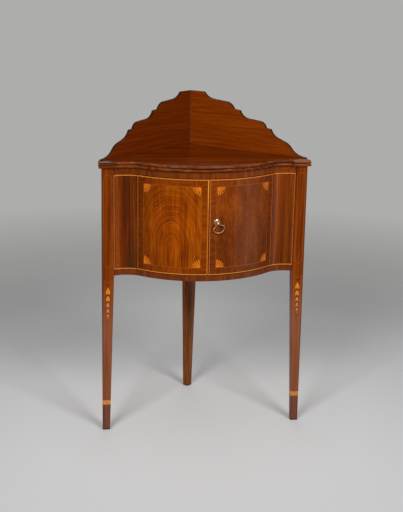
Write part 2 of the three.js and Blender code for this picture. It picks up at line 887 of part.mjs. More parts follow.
function topSlab() {
  const reedRadius = topThickness / reedCount / 2;
  const rings = [];
  for (let reed = 0; reed < reedCount; reed += 1) {
    const middle = topUnder + (2 * reed + 1) * reedRadius;
    for (let i = reed === 0 ? 0 : 1; i <= reedSteps; i += 1) {
      const turn = (i / reedSteps - 0.5) * Math.PI;
      rings.push(topRing(reedDepth * (1 - Math.cos(turn)), middle + reedRadius * Math.sin(turn)));
    }
  }
  return loft(rings);
}

const splashScrew = {
  head: splashScrewHeadRadius,
  headHeight: splashScrewHeadHeight,
  shank: splashScrewRadius,
  length: splashScrewLength,
};

function splashScrewAt(by) {
  const standing = screw(splashScrew, by).rotateX(Math.PI / 2);
  const along = splashScrewShare * splashLength;
  return againstWall(standing.translate(along, splashThickness / 2, topUnder + seam), wallReach);
}

// Splash board on the right wall, from a start beside the corner
function splashBoard(start) {
  const shape = new THREE.Shape();
  const at = ([along, up]) => [along * splashLength, up * splashRise];
  shape.moveTo(start, 0);
  shape.lineTo(start, splashRise);
  for (const { bend, to } of splashOutlineShares) {
    if (bend) shape.quadraticCurveTo(...at(bend), ...at(to));
    else shape.lineTo(...at(to));
  }
  shape.lineTo(splashLength, 0);
  const settings = { depth: splashThickness, bevelEnabled: false, curveSegments: splashBendSteps };
  const board = new THREE.ExtrudeGeometry(shape, settings).rotateX(Math.PI / 2);
  return againstWall(board.translate(0, splashThickness, topHeight), wallReach);
}

// Floor of the cupboard
function cabinetFloor() {
  const back = railThickness + seam;
  const front = facetStations.map((station) => facePoint(station, back));
  const reach = stileInner - seam;
  const inFront = front.filter(({ x }) => Math.abs(x) < reach);
  const inside = inFront[inFront.length - 1];
  const outside = front.find(({ x }) => x >= reach);
  const besideLeg = inside.clone().lerp(outside, (reach - inside.x) / (outside.x - inside.x));
  const wall = (along, inwards) => {
    const [x, y] = [(along - inwards) / Math.SQRT2, carcassReach - (along + inwards) / Math.SQRT2];
    return new THREE.Vector2(x, y);
  };
  const boardBack = sideBoardThickness + seam;
  const legBack = legDepth + seam;
  const alongLeg = (carcassReach - legBack) * Math.SQRT2 - boardBack;
  const right = [
    besideLeg,
    new THREE.Vector2(reach, legBack),
    wall(alongLeg, boardBack),
    wall(backLegSide + seam, boardBack),
    wall(backLegSide + seam, backLegSide + seam),
  ];
  const left = mirroredPoints(right.slice(0, -1));
  return solid(planPrism([...inFront, ...right, ...left], bottomRailTop - floorThickness, bottomRailTop));
}

function floorCleat() {
  const start = backLegSide + cleatEndInset;
  const back = sideBoardThickness + seam;
  const end = (carcassReach - legDepth) * Math.SQRT2 - back - cleatWidth - cleatEndInset;
  const low = [start, back, cabinetFoot];
  const high = [end, back + cleatWidth, bottomRailTop - floorThickness];
  return againstWall(box(low, high), carcassReach);
}

function glueBlock() {
  const middle = (carcassReach - legDepth) * Math.SQRT2 / 2;
  const back = sideBoardThickness + seam;
  const section = [
    new THREE.Vector2(back, topUnder - glueBlockLeg),
    new THREE.Vector2(back + glueBlockLeg, topUnder),
    new THREE.Vector2(back, topUnder),
  ];
  const settings = { depth: glueBlockLength, bevelEnabled: false };
  const block = new THREE.ExtrudeGeometry(new THREE.Shape(section), settings);
  const start = middle - glueBlockLength / 2;
  return againstWall(reshape(block, ({ x, y, z }) => [start + z, x, y]), carcassReach);
}

function doorStop() {
  const region = {
    from: meetingOffset - doorStopWidth / 2,
    to: meetingOffset + doorStopWidth / 2,
    bottom: bottomRailTop,
    top: bottomRailTop + doorStopHeight,
  };
  const front = doorThickness + seam;
  return curvedSlab({ ...region, front, back: front + doorStopThickness });
}

// Bolt on the inner face of the left door
const boltAlong = leftDoor.to - boltInset;
const boltPlateFront = doorThickness + runningGap;
const boltBarFront = boltPlateFront + boltPlateThickness + boltBarLift;
const boltPlateTop = doorTop - boltPlateDrop;
const boltBarTop = doorTop - boltBarDrop;
const boltPlateBottom = boltPlateTop - boltPlateLength;

function boltSleeve(bottom, top, start) {
  const outer = boltBarSide / 2 + runningGap + boltGuideWall;
  const inner = boltBarSide / 2 + runningGap;
  const back = boltBarFront + boltBarSide + runningGap;
  const sleeve = solid(box([-outer, start, bottom], [outer, back + boltGuideWall, top]));
  const slot = box([-inner, boltBarFront - runningGap, bottom - overrun], [inner, back, top + overrun]);
  return sleeve.subtract(solid(slot));
}

function atBolt(shape) {
  return solid(onFace(geometryOf(shape), boltAlong, 0));
}

function boltPlate() {
  const plateBack = boltPlateFront + boltPlateThickness;
  const plate = solid(box(
    [-boltPlateWidth / 2, boltPlateFront, boltPlateBottom],
    [boltPlateWidth / 2, plateBack, boltPlateTop],
  ));
  const upper = boltSleeve(boltPlateTop - boltGuideHeight, boltPlateTop, plateBack);
  const lower = boltSleeve(boltPlateBottom, boltPlateBottom + boltGuideHeight, plateBack);
  return atBolt(join([plate, upper, lower]));
}

// The bar with its finger knob
function boltBar() {
  const half = boltBarSide / 2;
  const back = boltBarFront + boltBarSide;
  const bar = box([-half, boltBarFront, boltPlateBottom], [half, back, boltBarTop]);
  const start = back - boltBarSide / 2;
  const end = back + boltKnobReach;
  const profile = [
    [0, start],
    [boltKnobRadius / 2, start],
    [boltKnobRadius / 2, back + boltKnobNeck],
    [boltKnobRadius, back + 2 * boltKnobNeck],
    [boltKnobRadius, end - boltKnobNeck],
    [0, end],
  ];
  const knob = turned(profile, roundSides).translate(0, 0, (boltPlateTop + boltPlateBottom) / 2);
  return atBolt(join([solid(bar), solid(knob)]));
}

function boltKeeper() {
  const bottom = topRailUnder + keeperLift;
  return atBolt(boltSleeve(bottom, bottom + keeperHeight, railThickness + seam));
}

// Pull and latch: along Y, depth behind the face, so that what stands proud is negative
function pullRosette() {
  const hole = spindleRadius + runningGap;
  const profile = [
    [hole, -seam],
    [rosetteRadius, -seam],
    [rosetteRadius, -rosetteThickness / 2],
    [rosetteRadius * rosetteRimShare, -rosetteThickness],
    [hole, -rosetteThickness],
    [hole, -seam],
  ];
  return onPull(turned(profile.reverse(), roundSides));
}

function pullPost() {
  const start = -rosetteThickness - seam;
  const shoulder = start - postLength;
  const neck = shoulder - neckLength;
  const spindleEnd = fingerBack + spindleEndReach;
  const startTurn = Math.asin(neckRadius / finialRadius);
  const ballMiddle = neck - finialRadius * Math.cos(startTurn);
  const profile = [[0, spindleEnd], [spindleRadius, spindleEnd], [spindleRadius, start], [postRadius, start]];
  profile.push([postRadius, shoulder], [neckRadius, shoulder], [neckRadius, neck]);
  for (let i = 1; i <= finialSteps; i += 1) {
    const turn = startTurn + (i / finialSteps) * (Math.PI - startTurn);
    const radius = i === finialSteps ? 0 : finialRadius * Math.sin(turn);
    profile.push([radius, ballMiddle + finialRadius * Math.cos(turn)]);
  }
  const post = solid(turned(profile.reverse(), roundSides));
  const holes = sides.map(({ sign }) => {
    const pin = planPrism(circle(ringWire + runningGap, roundSides), 0, ringHoleDepth + overrun);
    const lying = pin.rotateY(sign * Math.PI / 2);
    return solid(lying.translate(sign * (postRadius - ringHoleDepth), -ringPivotReach, 0));
  });
  return onPull(geometryOf(cut(post, holes)));
}

const bushFront = doorThickness + runningGap;
const fingerFront = bushFront + bushThickness + seam;
const fingerBack = fingerFront + fingerThickness;

function latchBush() {
  const hole = spindleRadius + runningGap;
  const back = bushFront + bushThickness;
  const profile = [[hole, bushFront], [bushRadius, bushFront], [bushRadius, back], [hole, back], [hole, bushFront]];
  return onPull(turned(profile, roundSides));
}

// Points up when the ring hangs plumb
function latchFinger() {
  const half = fingerWidth / 2;
  const shape = new THREE.Shape();
  shape.absarc(0, 0, half, Math.PI, 2 * Math.PI, false);
  shape.lineTo(half, fingerLength - half);
  shape.absarc(0, fingerLength - half, half, 0, Math.PI, false);
  shape.holes = [new THREE.Path(circle(spindleRadius + seam, roundSides))];
  const settings = { depth: fingerThickness, bevelEnabled: false, curveSegments: roundSides / 2 };
  const plate = new THREE.ExtrudeGeometry(shape, settings).rotateX(Math.PI / 2);
  return onPull(plate.translate(0, fingerBack, 0));
}

function pullRing() {
  const shares = Array.from({ length: ringArcSteps + 1 }, (_, i) => i / ringArcSteps);
  const bow = shares.map((share) => {
    const turn = Math.PI * (1 + share);
    return new THREE.Vector3(ringRadius * Math.cos(turn), 0, ringRadius * Math.sin(turn) - ringDrop);
  });
  const start = postRadius - ringPinReach;
  const arm = [new THREE.Vector3(-start, 0, 0), new THREE.Vector3(-ringShoulder, 0, 0)];
  const otherArm = arm.map(({ x, y, z }) => new THREE.Vector3(-x, y, z)).reverse();
  const path = new THREE.CatmullRomCurve3([...arm, ...bow, ...otherArm], false, 'centripetal');
  const section = new THREE.Shape(circle(ringWire, ringWireSides));
  const settings = { steps: ringPathSteps, bevelEnabled: false, extrudePath: path };
  return onPull(new THREE.ExtrudeGeometry(section, settings).translate(0, -ringPivotReach, 0));
}

function spindleHole() {
  const end = doorThickness + overrun;
  const hole = spindleRadius + runningGap;
  return onPull(turned([[0, -overrun], [hole, -overrun], [hole, end], [0, end]], roundSides));
}

// Assembly
for (const side of sides) {
  const { name } = side;
  addPart(`leg_front_${name}`, onSide(side, frontLeg()), mahogany());
  addPart(`cuff_${name}`, onSide(side, cuff()), satinwood());
  addPart(`stile_string_${name}`, onSide(side, stileString(0, inlayDepth, 0)), satinwood());
  addPart(`leg_string_${name}`, onSide(side, legString(0, inlayDepth, 0)), satinwood());
  addPart(`bellflowers_${name}`, onSide(side, bellflowers(0, inlayDepth, 0)), satinwood());
  addPart(`side_board_${name}`, onSide(side, sideBoard()), innerWood());
  addPart(`floor_cleat_${name}`, onSide(side, floorCleat()), innerWood());
  addPart(`glue_block_${name}`, onSide(side, glueBlock()), innerWood());
  addPart(`fixed_panel_${name}`, onSide(side, fixedPanel()), darkMahogany());
  addPart(`panel_edging_${name}`, onSide(side, panelEdging()), satinwood());
  addPart(`splash_screw_${name}`, onSide(side, splashScrewAt(0)), brass());
  addPart(`rail_hinge_${name}_top`, onSide(side, railLeaf(seats.railTop)), brass());
  addPart(`rail_hinge_${name}_bottom`, onSide(side, railLeaf(seats.railBottom)), brass());
  addPart(`door_hinge_${name}_top`, onSide(side, doorLeaf(seats.doorTop)), brass());
  addPart(`door_hinge_${name}_bottom`, onSide(side, doorLeaf(seats.doorBottom)), brass());
}
addPart('leg_back', backLeg(), mahogany());
addPart('cabinet_floor', cabinetFloor(), innerWood());
addPart('door_stop', doorStop(), innerWood());
addPart('rail_top', rail(topRail).subtract(onBothSides(leafPocket(seats.railTop))), mahogany());
addPart('rail_bottom', rail(bottomRail).subtract(onBothSides(leafPocket(seats.railBottom))), mahogany());
addPart('top_board', topSlab().subtract(onBothSides(splashScrewAt(seam))), mahogany());

// The left splash board runs on into the corner, behind the end of the right one
const rightSplash = splashBoard(splashThickness + seam).subtract(splashScrewAt(seam));
const leftSplash = mirrored(splashBoard(0).subtract(splashScrewAt(seam)));
addPart('splash_board_left', leftSplash, darkMahogany());
addPart('splash_board_right', rightSplash, mahogany());

for (const door of [leftDoor, rightDoor]) {
  const { name } = door;
  const bored = (shape) => (door === rightDoor ? shape.subtract(spindleHole()) : shape);
  const edging = curvedFrame(door, edgingInner(door), 0, edgingDepth);
  addPart(`door_${name}`, bored(doorBody(door)), figuredMahogany());
  addPart(`door_edging_${name}`, edging, satinwood());
  addPart(`door_string_${name}`, bored(doorString(door, 0, 0, inlayDepth)), satinwood());
  fanCorners.forEach((corner, quarter) => {
    addPart(`fan_${name}_${corner}`, doorFan(door, quarter, 0, 0, inlayDepth), satinwood());
  });
}

addPart('bolt_plate', boltPlate(), brass());
addPart('bolt_bar', boltBar(), brass());
addPart('bolt_keeper', boltKeeper(), brass());
addPart('pull_rosette', pullRosette(), brass());
addPart('latch_bush', latchBush(), brass());
addPart('pull_post', pullPost(), brass());
addPart('latch_finger', latchFinger(), brass());
addPart('pull_ring', pullRing(), brass());

// The origin is the middle of the footprint, on the floor
const bounds = new THREE.Box3().setFromObject(group);
group.position.y = -(bounds.min.y + bounds.max.y) / 2;

export default group;
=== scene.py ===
import math

import bmesh
import bpy
from mathutils import Matrix, Vector


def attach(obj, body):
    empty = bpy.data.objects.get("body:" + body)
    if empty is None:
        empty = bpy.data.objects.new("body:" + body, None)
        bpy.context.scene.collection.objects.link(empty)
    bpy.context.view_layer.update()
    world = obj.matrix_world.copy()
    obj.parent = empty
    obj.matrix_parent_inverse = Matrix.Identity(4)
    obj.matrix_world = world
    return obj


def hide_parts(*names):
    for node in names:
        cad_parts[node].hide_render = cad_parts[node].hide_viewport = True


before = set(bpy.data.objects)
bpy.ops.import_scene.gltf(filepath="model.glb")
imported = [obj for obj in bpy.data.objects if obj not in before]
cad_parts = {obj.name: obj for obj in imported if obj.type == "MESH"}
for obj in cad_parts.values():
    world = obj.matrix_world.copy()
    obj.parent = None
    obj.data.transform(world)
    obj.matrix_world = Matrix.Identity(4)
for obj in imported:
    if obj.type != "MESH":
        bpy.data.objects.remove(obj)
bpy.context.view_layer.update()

MM = 0.001
ROOT2 = math.sqrt(2)

# Camera, fitted to the photograph
CAMERA_PLACE = (-0.4228, -2.67773, 1.2334)
CAMERA_RIGHT = (0.98785, -0.15435, 0.01753)
CAMERA_UP = (0.02489, 0.26866, 0.96291)
CAMERA_LENS = 68.98

# Linear colours that several materials share
BACKDROP = (0.42, 0.42, 0.41)
VARNISH = (1.0, 0.76, 0.46, 1)  # old varnish warms what the wood reflects straight on
# The colour of painted shade in crevices
CREVICE_SHADE = (0.012, 0.004, 0.002, 1)

# Sizes of the solids
SHIFT = -111.5315  # the legs' front faces stand at this Y
HALF_SPAN = 280.0
LEG_WIDTH, LEG_DEPTH = 30.7, 30.0
FOOT_WIDTH, FOOT_DEPTH = 20.2, 16.5
LEG_SPLAY = 4.0  # the front legs lean out by this much, from under the top to the floor
BACK_LEG, BACK_FOOT = 33.0, 19.0
CABINET_FOOT = 455.5
TOP_UNDER, TOP_HEIGHT = 754.0, 770.0
TOP_OVERHANG, TOP_EAR = 5.8, 9.0  # past the face, and past both sides of each stile
CARCASS_REACH, WALL_REACH = 310.0, 314.0
SEAM = 0.3
STILE_INNER = HALF_SPAN - LEG_WIDTH
HOLLOW_RADIUS = 68.6
BOW_ANGLE = math.radians(41.29)
HOLLOW_END = math.radians(25.14)
PANEL_SETBACK = 4.7
BOW_SINE = math.sin(BOW_ANGLE)
BOW_RADIUS = (STILE_INNER - HOLLOW_RADIUS * (BOW_SINE + math.sin(HOLLOW_END))) / BOW_SINE
BOW_ARC = BOW_RADIUS * BOW_ANGLE
FACE_ARC = BOW_ARC + HOLLOW_RADIUS * (BOW_ANGLE + HOLLOW_END)
BOW_RISE = BOW_RADIUS * (1 - math.cos(BOW_ANGLE))
HOLLOW_RISE = HOLLOW_RADIUS * (math.cos(HOLLOW_END) - math.cos(BOW_ANGLE))
BOW_FRONT = PANEL_SETBACK - BOW_RISE - HOLLOW_RISE
HOLLOW_CENTRE = (BOW_RADIUS + HOLLOW_RADIUS) * BOW_SINE
PANEL_WIDTH = 66.2
HINGE_LINE = FACE_ARC - PANEL_WIDTH
PANEL_END = math.asin((STILE_INNER - SEAM - HOLLOW_CENTRE) / HOLLOW_RADIUS)
PANEL_ARC = BOW_ARC + HOLLOW_RADIUS * (BOW_ANGLE + PANEL_END)
TOP_RAIL, BOTTOM_RAIL, DOOR_GAP, PANEL_GAP = 18.0, 15.8, 1.5, 1.6
RAIL_UNDER, RAIL_TOP = TOP_UNDER - TOP_RAIL, CABINET_FOOT + BOTTOM_RAIL
DOOR_TOP, DOOR_BOTTOM = RAIL_UNDER - DOOR_GAP, RAIL_TOP + DOOR_GAP
DOORS = {"left": (-HINGE_LINE, -3.2), "right": (-1.8, HINGE_LINE)}
DOOR_THICKNESS, RAIL_THICKNESS = 18.0, 20.0
PULL_ALONG, PULL_HEIGHT, PULL_TILT = 19.2, 619.012, math.radians(17)
RING_REACH, RING_RADIUS, RING_DROP = 6.0, 14.9, 15.4

# Inlay: how far strings lie from the edges of a door or leg, and how wide they are
INLAY_DEPTH = 0.4
EDGING_INSET, EDGING_END, EDGING_WIDTH = 1.5, 2.6, 2.0
MEETING_STRINGS = {"left": (1.6, 3.0), "right": (2.6, 1.6)}
HINGE_STRING = 1.3
STILE_EDGING_INSET = 1.4
STRING_INSET, STRING_WIDTH, STRING_OFF = 19.0, 0.9, 0.6
FAN_SETBACK = 2.0
FAN_RADIUS = 22.5
FAN_HEART = 8.0  # the petals part from this radius
FAN_GAP, FAN_GAP_GROWTH = 0.1, 0.2
PETALS, PETAL_START = 5, 1.2
LEG_STRING_WIDTH, CROSS_STRING_WIDTH = 0.8, 0.7
STILE_STRING_MARGIN, FOOT_STRING_MARGIN = 4.4, 2.9
NOTCH_TOP, NOTCH_FOOT = 444.5, 433.5
CUFF = (77.0, 91.0)
BELLS = ((424, 21.5, 11.6), (400.5, 17.6, 10.8), (380.8, 14.8, 8.6), (364.2, 14, 7), (348.4, 11, 5.6))
FIRST_DOT, NEXT_DOT, END_DOT = (2.5, 6.4), (1.7, 1.4), (1.6, 333.5)  # radius, and height or rise over a husk

# Top and splash boards
REEDS, REED_RADIUS, REED_STEPS = 2, 4.0, 10
UNDER_REED_DEPTH = 1.5  # the lower reed is flatter below its middle
FRONT_STEPS = 130
SPLASH_RISE, SPLASH_THICKNESS = 156.0, 9.0
SPLASH_END = 4.0  # from the end of the top
SPLASH_LENGTH = (HALF_SPAN + TOP_EAR - SPLASH_END) * ROOT2
# Shares of length and rise: each step is (pull point of a curve or None, end)
SPLASH_OUTLINE = (
    (None, (0.13, 1)), (None, (0.14, 0.985)), ((0.166, 0.885), (0.248, 0.876)), (None, (0.343, 0.856)),
    ((0.382, 0.824), (0.398, 0.737)), (None, (0.45, 0.722)), ((0.471, 0.58), (0.551, 0.585)),
    (None, (0.621, 0.567)), ((0.658, 0.551), (0.671, 0.455)), (None, (0.71, 0.444)),
    ((0.729, 0.32), (0.789, 0.282)), (None, (0.836, 0.237)), ((0.861, 0.208), (0.883, 0.138)),
    ((0.923, 0.022), (1, 0.016)),
)


# Materials
class Shader:
    """The nodes of a material or a world. Each call adds a node and returns its output."""

    def __init__(self, owner):
        self.owner = owner
        owner.use_nodes = True
        self.tree = owner.node_tree
        self.tree.nodes.clear()

    def node(self, kind, inputs=None, out=0, **settings):
        made = self.tree.nodes.new("ShaderNode" + kind)
        for key, value in settings.items():
            setattr(made, key, value)
        for key, value in (inputs or {}).items():
            if isinstance(value, bpy.types.NodeSocket):
                self.tree.links.new(value, made.inputs[key])
            else:
                made.inputs[key].default_value = value
        return made.outputs[out] if made.outputs else None

    def math(self, operation, a, b=0.0, clamp=False):
        return self.node("Math", {0: a, 1: b}, operation=operation, use_clamp=clamp)

    def add(self, a, b, clamp=False):
        return self.math("ADD", a, b, clamp)

    def minus(self, a, b):
        return self.math("SUBTRACT", a, b)

    def times(self, a, b):
        return self.math("MULTIPLY", a, b)

    def parts(self, vector):
        """The three numbers of a vector."""
        return self.node("SeparateXYZ", {0: vector}).node.outputs

    def vector(self, operation, inputs, out=0):
        return self.node("VectorMath", inputs, out, operation=operation)

    def noise(self, vector, scale, detail=2.0, roughness=0.5, distortion=0.0, out=0):
        inputs = {"Vector": vector, "Scale": scale, "Detail": detail, "Roughness": roughness,
                  "Distortion": distortion}
        return self.node("TexNoise", inputs, out)

    def stretched(self, vector, scales, detail=2.0, roughness=0.5, distortion=0.0, out=0):
        """Noise with its own scale along each axis."""
        scaled = self.vector("MULTIPLY", {0: vector, 1: scales})
        return self.noise(scaled, 1.0, detail, roughness, distortion, out)

    def span(self, value, low, high, to_low=0.0, to_high=1.0):
        return self.node("MapRange", {0: value, 1: low, 2: high, 3: to_low, 4: to_high})

    def mix(self, factor, a, b, blend="MIX"):
        return self.node("Mix", {0: factor, 6: a, 7: b}, 2, data_type="RGBA", blend_type=blend)

    def ramp(self, factor, stops):
        ramped = self.node("ValToRGB", {0: factor})
        elements = ramped.node.color_ramp.elements
        while len(elements) < len(stops):
            elements.new(0.5)
        for element, (place, colour) in zip(elements, stops):
            element.position = place
            element.color = (*colour, 1)
        return ramped

    def openness(self, distance):
        """1 in the open, less in crevices."""
        return self.node("AmbientOcclusion", {"Distance": distance}, "AO", samples=6, only_local=False)

    def bump(self, height, strength, distance):
        return self.node("Bump", {"Height": height, "Strength": strength, "Distance": distance})

    def object_place(self):
        return self.node("TexCoord", out="Object")

    def seen_directly(self):
        """1 for the rays that show the backdrop as it is: camera, reflection and glass."""
        rays = self.node("LightPath").node.outputs
        reflected = self.math("MAXIMUM", rays["Is Glossy Ray"], rays["Is Transmission Ray"])
        return self.math("MAXIMUM", rays["Is Camera Ray"], reflected)

    def finish(self, **inputs):
        named = {key.replace("_", " "): value for key, value in inputs.items()}
        self.node("OutputMaterial", {"Surface": self.node("BsdfPrincipled", named)})
        return self.owner

    def varnished(self, colour, roughness, sheen, coat, normal):
        return self.finish(Base_Color=colour, Roughness=roughness, IOR=1.5, Specular_IOR_Level=sheen,
                           Specular_Tint=VARNISH, Coat_Weight=coat, Coat_Roughness=0.1, Normal=normal)


def srgb(red, green, blue):
    """A colour as seen on screen, 0 to 255, as the linear colour of a surface."""
    def linear(value):
        value /= 255
        return value / 12.92 if value <= 0.04045 else ((value + 0.055) / 1.055) ** 2.4
    return (linear(red), linear(green), linear(blue))


def opaque(red, green, blue):
    return (*srgb(red, green, blue), 1)


def tones(dark, middle, light, low=0.38, high=0.62):
    """Colour stops for streaks of wood."""
    return ((low, srgb(*dark)), ((low + high) / 2, srgb(*middle)), (high, srgb(*light)))


def darkened(shader, colour, factor):
    grey = shader.node("CombineXYZ", {0: factor, 1: factor, 2: factor})
    return shader.mix(1.0, colour, grey, "MULTIPLY")


def grain_coordinates(shader, source):
    """Metres, X along the grain. Rebuilt pieces carry them, CAD nodes take them from their own space."""
    if source == "grain":
        return shader.node("Attribute", out="Vector", attribute_name="grain")
    turns = {"x": (0, 0, 0), "left": (0, 0, -math.pi / 4), "right": (0, 0, math.pi / 4)}
    inputs = {"Vector": shader.object_place(), "Rotation": turns[source]}
    return shader.node("VectorRotate", inputs, rotation_type="EULER_XYZ")


def wood(name, stops, source="grain", seed=0.0, broad=(2.4, 60, 60), figure=None, broad_share=0.6,
         pores=0.5, roughness=0.3, sheen=0.1, coat=0.05, crevice_shade_strength=0.45, shade=None):
    """Polished or plain wood: broad and fine streaks, open pores, and painted shade in crevices."""
    shader = Shader(bpy.data.materials.new(name))
    place = grain_coordinates(shader, source)
    grain = shader.vector("ADD", {0: place, 1: (seed, seed * 0.37, seed * 0.61)})
    drift = shader.stretched(grain, (3, 9, 9), 2, out=1)
    warped = shader.vector("MULTIPLY_ADD", {0: drift, 1: (0.004, 0.012, 0.012), 2: grain})
    streaks = shader.stretched(warped, broad, 4, 0.55)
    threads = shader.stretched(warped, (9, 430, 430), 3, 0.6)
    value = shader.add(shader.times(streaks, broad_share), shader.times(threads, 1 - broad_share))
    if figure:
        value = figure(shader, place, grain, value)
    colour = shader.ramp(value, stops)
    open_pores = shader.span(shader.stretched(grain, (55, 1700, 1700), 1), 0.58, 0.74)
    darkest = stops[0][1]
    pore_colour = (*[c * 0.45 for c in darkest], 1)
    colour = shader.mix(shader.times(open_pores, pores), colour, pore_colour)
    if shade:
        colour = shade(shader, place, grain, colour)
    # Painted shade: darker in crevices and where parts meet, from ambient occlusion
    painted_crevice_shade = shader.span(shader.openness(0.006), 0.25, 0.95, crevice_shade_strength, 0.0)
    colour = shader.mix(painted_crevice_shade, colour, CREVICE_SHADE)
    haze = shader.noise(grain, 14.0, 3)
    relief = shader.minus(shader.times(threads, 0.5), open_pores)
    uneven = shader.span(haze, 0.3, 0.7, roughness * 0.8, roughness * 1.25)
    return shader.varnished(colour, uneven, sheen, coat, shader.bump(relief, 0.25, 0.00012))


# Figures of the veneers. On the front and the legs, place and grain are height, along and depth.
def flame(shader, place, grain, value):
    """Nested arches over the heart of a crotch, on a mottled ground."""
    heart_height, heart_aside = 0.551, 0.103
    ring_pitch, arch_pitch = 800.0, 330.0
    up, along, _ = shader.parts(place)
    height = shader.minus(up, heart_height)
    below = shader.math("LESS_THAN", height, 0.0)
    height = shader.times(height, shader.span(below, 0, 1, 1.0, 0.3))
    aside = shader.math("DIVIDE", shader.add(along, heart_aside), 0.6)
    squares = shader.add(shader.math("POWER", aside, 2.0), shader.math("POWER", height, 2.0))
    sway = shader.stretched(grain, (9, 16, 16), 3, 0.5)
    away = shader.add(shader.math("SQRT", squares), shader.times(sway, 0.034))
    uneven = shader.node("TexNoise", {"W": away, "Scale": 60.0, "Detail": 2.0}, noise_dimensions="1D")
    turn = shader.add(shader.times(away, ring_pitch), shader.times(uneven, 11.0))
    rings = shader.span(shader.math("SINE", turn), 0.0, 1.0)
    patchy = shader.span(shader.stretched(grain, (12, 26, 26), 3, 0.6), 0.36, 0.6, 0.45, 1.0)
    fading = shader.span(up, 0.645, 0.7, 1.0, 0.5)
    inside = shader.times(shader.span(away, 0.03, 0.05), fading)
    veins = shader.times(shader.times(rings, patchy), shader.times(inside, 0.15))
    ground = shader.stretched(grain, (16, 44, 44), 3, 0.55)
    value = shader.add(shader.times(ground, 0.3), shader.times(value, 0.76))
    arches = shader.times(shader.math("SINE", shader.times(away, arch_pitch)), 0.018)
    return shader.minus(shader.add(value, arches), veins)


def mottle(shader, place, grain, value):
    """A cloudy plum figure with faint upright streaks."""
    slant = shader.node("VectorRotate", {"Vector": grain, "Angle": 0.12}, rotation_type="Z_AXIS")
    clouds = shader.stretched(slant, (9, 30, 30), 3, 0.5, 0.3)
    specks = shader.stretched(slant, (60, 240, 240), 4, 0.6)
    value = shader.add(shader.times(clouds, 0.36), shader.times(value, 0.3))
    return shader.add(value, shader.times(specks, 0.34))


# Shades, laid over the wood's colour
def knotted(inner, knots):
    """Small dark knots at places along the face and up, over another shade."""
    core, rim = 0.85 * MM, 2.55 * MM

    def shade(shader, place, grain, colour):
        colour = inner(shader, place, grain, colour)
        flat = shader.vector("MULTIPLY", {0: place, 1: (1, 1, 0)})
        for along, height in knots:
            away = shader.vector("DISTANCE", {0: flat, 1: (height * MM, along * MM, 0)}, "Value")
            colour = darkened(shader, colour, shader.span(away, core, rim, 0.22, 1.0))
        return colour
    return shade


def banded(door, stops, painted_shade_across, upward_levels):
    """Crossbanding outside a door's string. Levels are (share, factor): painted shade across the bowed door
    from the hinge, and darker by height upward.
    """
    start, end = [along * MM for along in DOORS[door]]
    low, high = DOOR_BOTTOM * MM, DOOR_TOP * MM
    inset = STRING_INSET * MM

    def outside(shader, value, first, last):
        off = shader.math("ABSOLUTE", shader.minus(value, (first + last) / 2))
        return shader.math("GREATER_THAN", off, (last - first) / 2 - inset)

    def shade(shader, place, grain, colour):
        height, along, _ = shader.parts(place)
        beside = outside(shader, along, start, end)
        over = outside(shader, height, low, high)
        across = shader.stretched(grain, (150, 26, 26), 4, 0.6)
        upright = shader.stretched(grain, (26, 150, 150), 4, 0.6)
        streaks = shader.add(shader.times(across, beside), shader.times(upright, shader.minus(1.0, beside)))
        colour = shader.mix(shader.math("MAXIMUM", beside, over), colour, shader.ramp(streaks, stops))
        hinge, meeting = (start, end) if door == "left" else (end, start)
        from_hinge = shader.span(along, hinge, meeting)
        upward = shader.span(height, low, high)
        # Painted shade across the bowed face from the hinge, then darker by height
        for share, levels in ((from_hinge, painted_shade_across), (upward, upward_levels)):
            level = shader.ramp(share, [(at, (factor,) * 3) for at, factor in levels])
            colour = shader.mix(1.0, colour, level, "MULTIPLY")
        return colour
    return shade


def toward(first, last, factor, foot=1.0, head=1.0):
    """Darker or lighter along the face, between places in millimetres, and changing from foot to head."""
    def shade(shader, place, grain, colour):
        height, along, _ = shader.parts(place)
        beside = shader.span(along, first * MM, last * MM, 1.0, factor)
        upward = shader.span(height, DOOR_BOTTOM * MM, DOOR_TOP * MM, foot, head)
        return darkened(shader, colour, shader.times(beside, upward))
    return shade


def darker_by_door(shader, place, grain, colour):
    """The left panel: darker beyond a line that leans towards the door, and darker brown low down beside it.
    """
    height, along, _ = shader.parts(place)
    lean = shader.span(height, 0.56, 0.62, 0.016, 0.0)
    leant = shader.minus(along, lean)
    colour = darkened(shader, colour, shader.span(leant, -0.258, -0.246, 1.05, 0.78))
    low_dark_patch = shader.times(shader.span(along, -0.236, -0.222), shader.span(height, 0.58, 0.5, 0.0, 0.55))
    return shader.mix(low_dark_patch, colour, opaque(50, 30, 14))


def joint_light_and_shade(shader, place, grain, colour):
    """A splash board with a painted light line where the other one meets it, lifting the corner's shade, and
    painted shadow just beyond it.
    """
    along = shader.parts(place)[0]
    # Painted light in a line by the joint, then painted shadow beyond it
    line = shader.span(along, (SPLASH_THICKNESS + 2.0) * MM, (SPLASH_THICKNESS + 4.0) * MM, 0.65, 0.0)
    shadow = shader.span(along, (SPLASH_THICKNESS + 3.0) * MM, (SPLASH_THICKNESS + 8.0) * MM, 0.86, 1.0)
    return shader.mix(line, darkened(shader, colour, shadow), opaque(146, 82, 44))


def darker_foot_end(shader, place, grain, colour):
    """Darker round the very end of a foot."""
    height = shader.parts(place)[0]
    return darkened(shader, colour, shader.span(height, 0.001, 0.006, 0.4, 1.0))


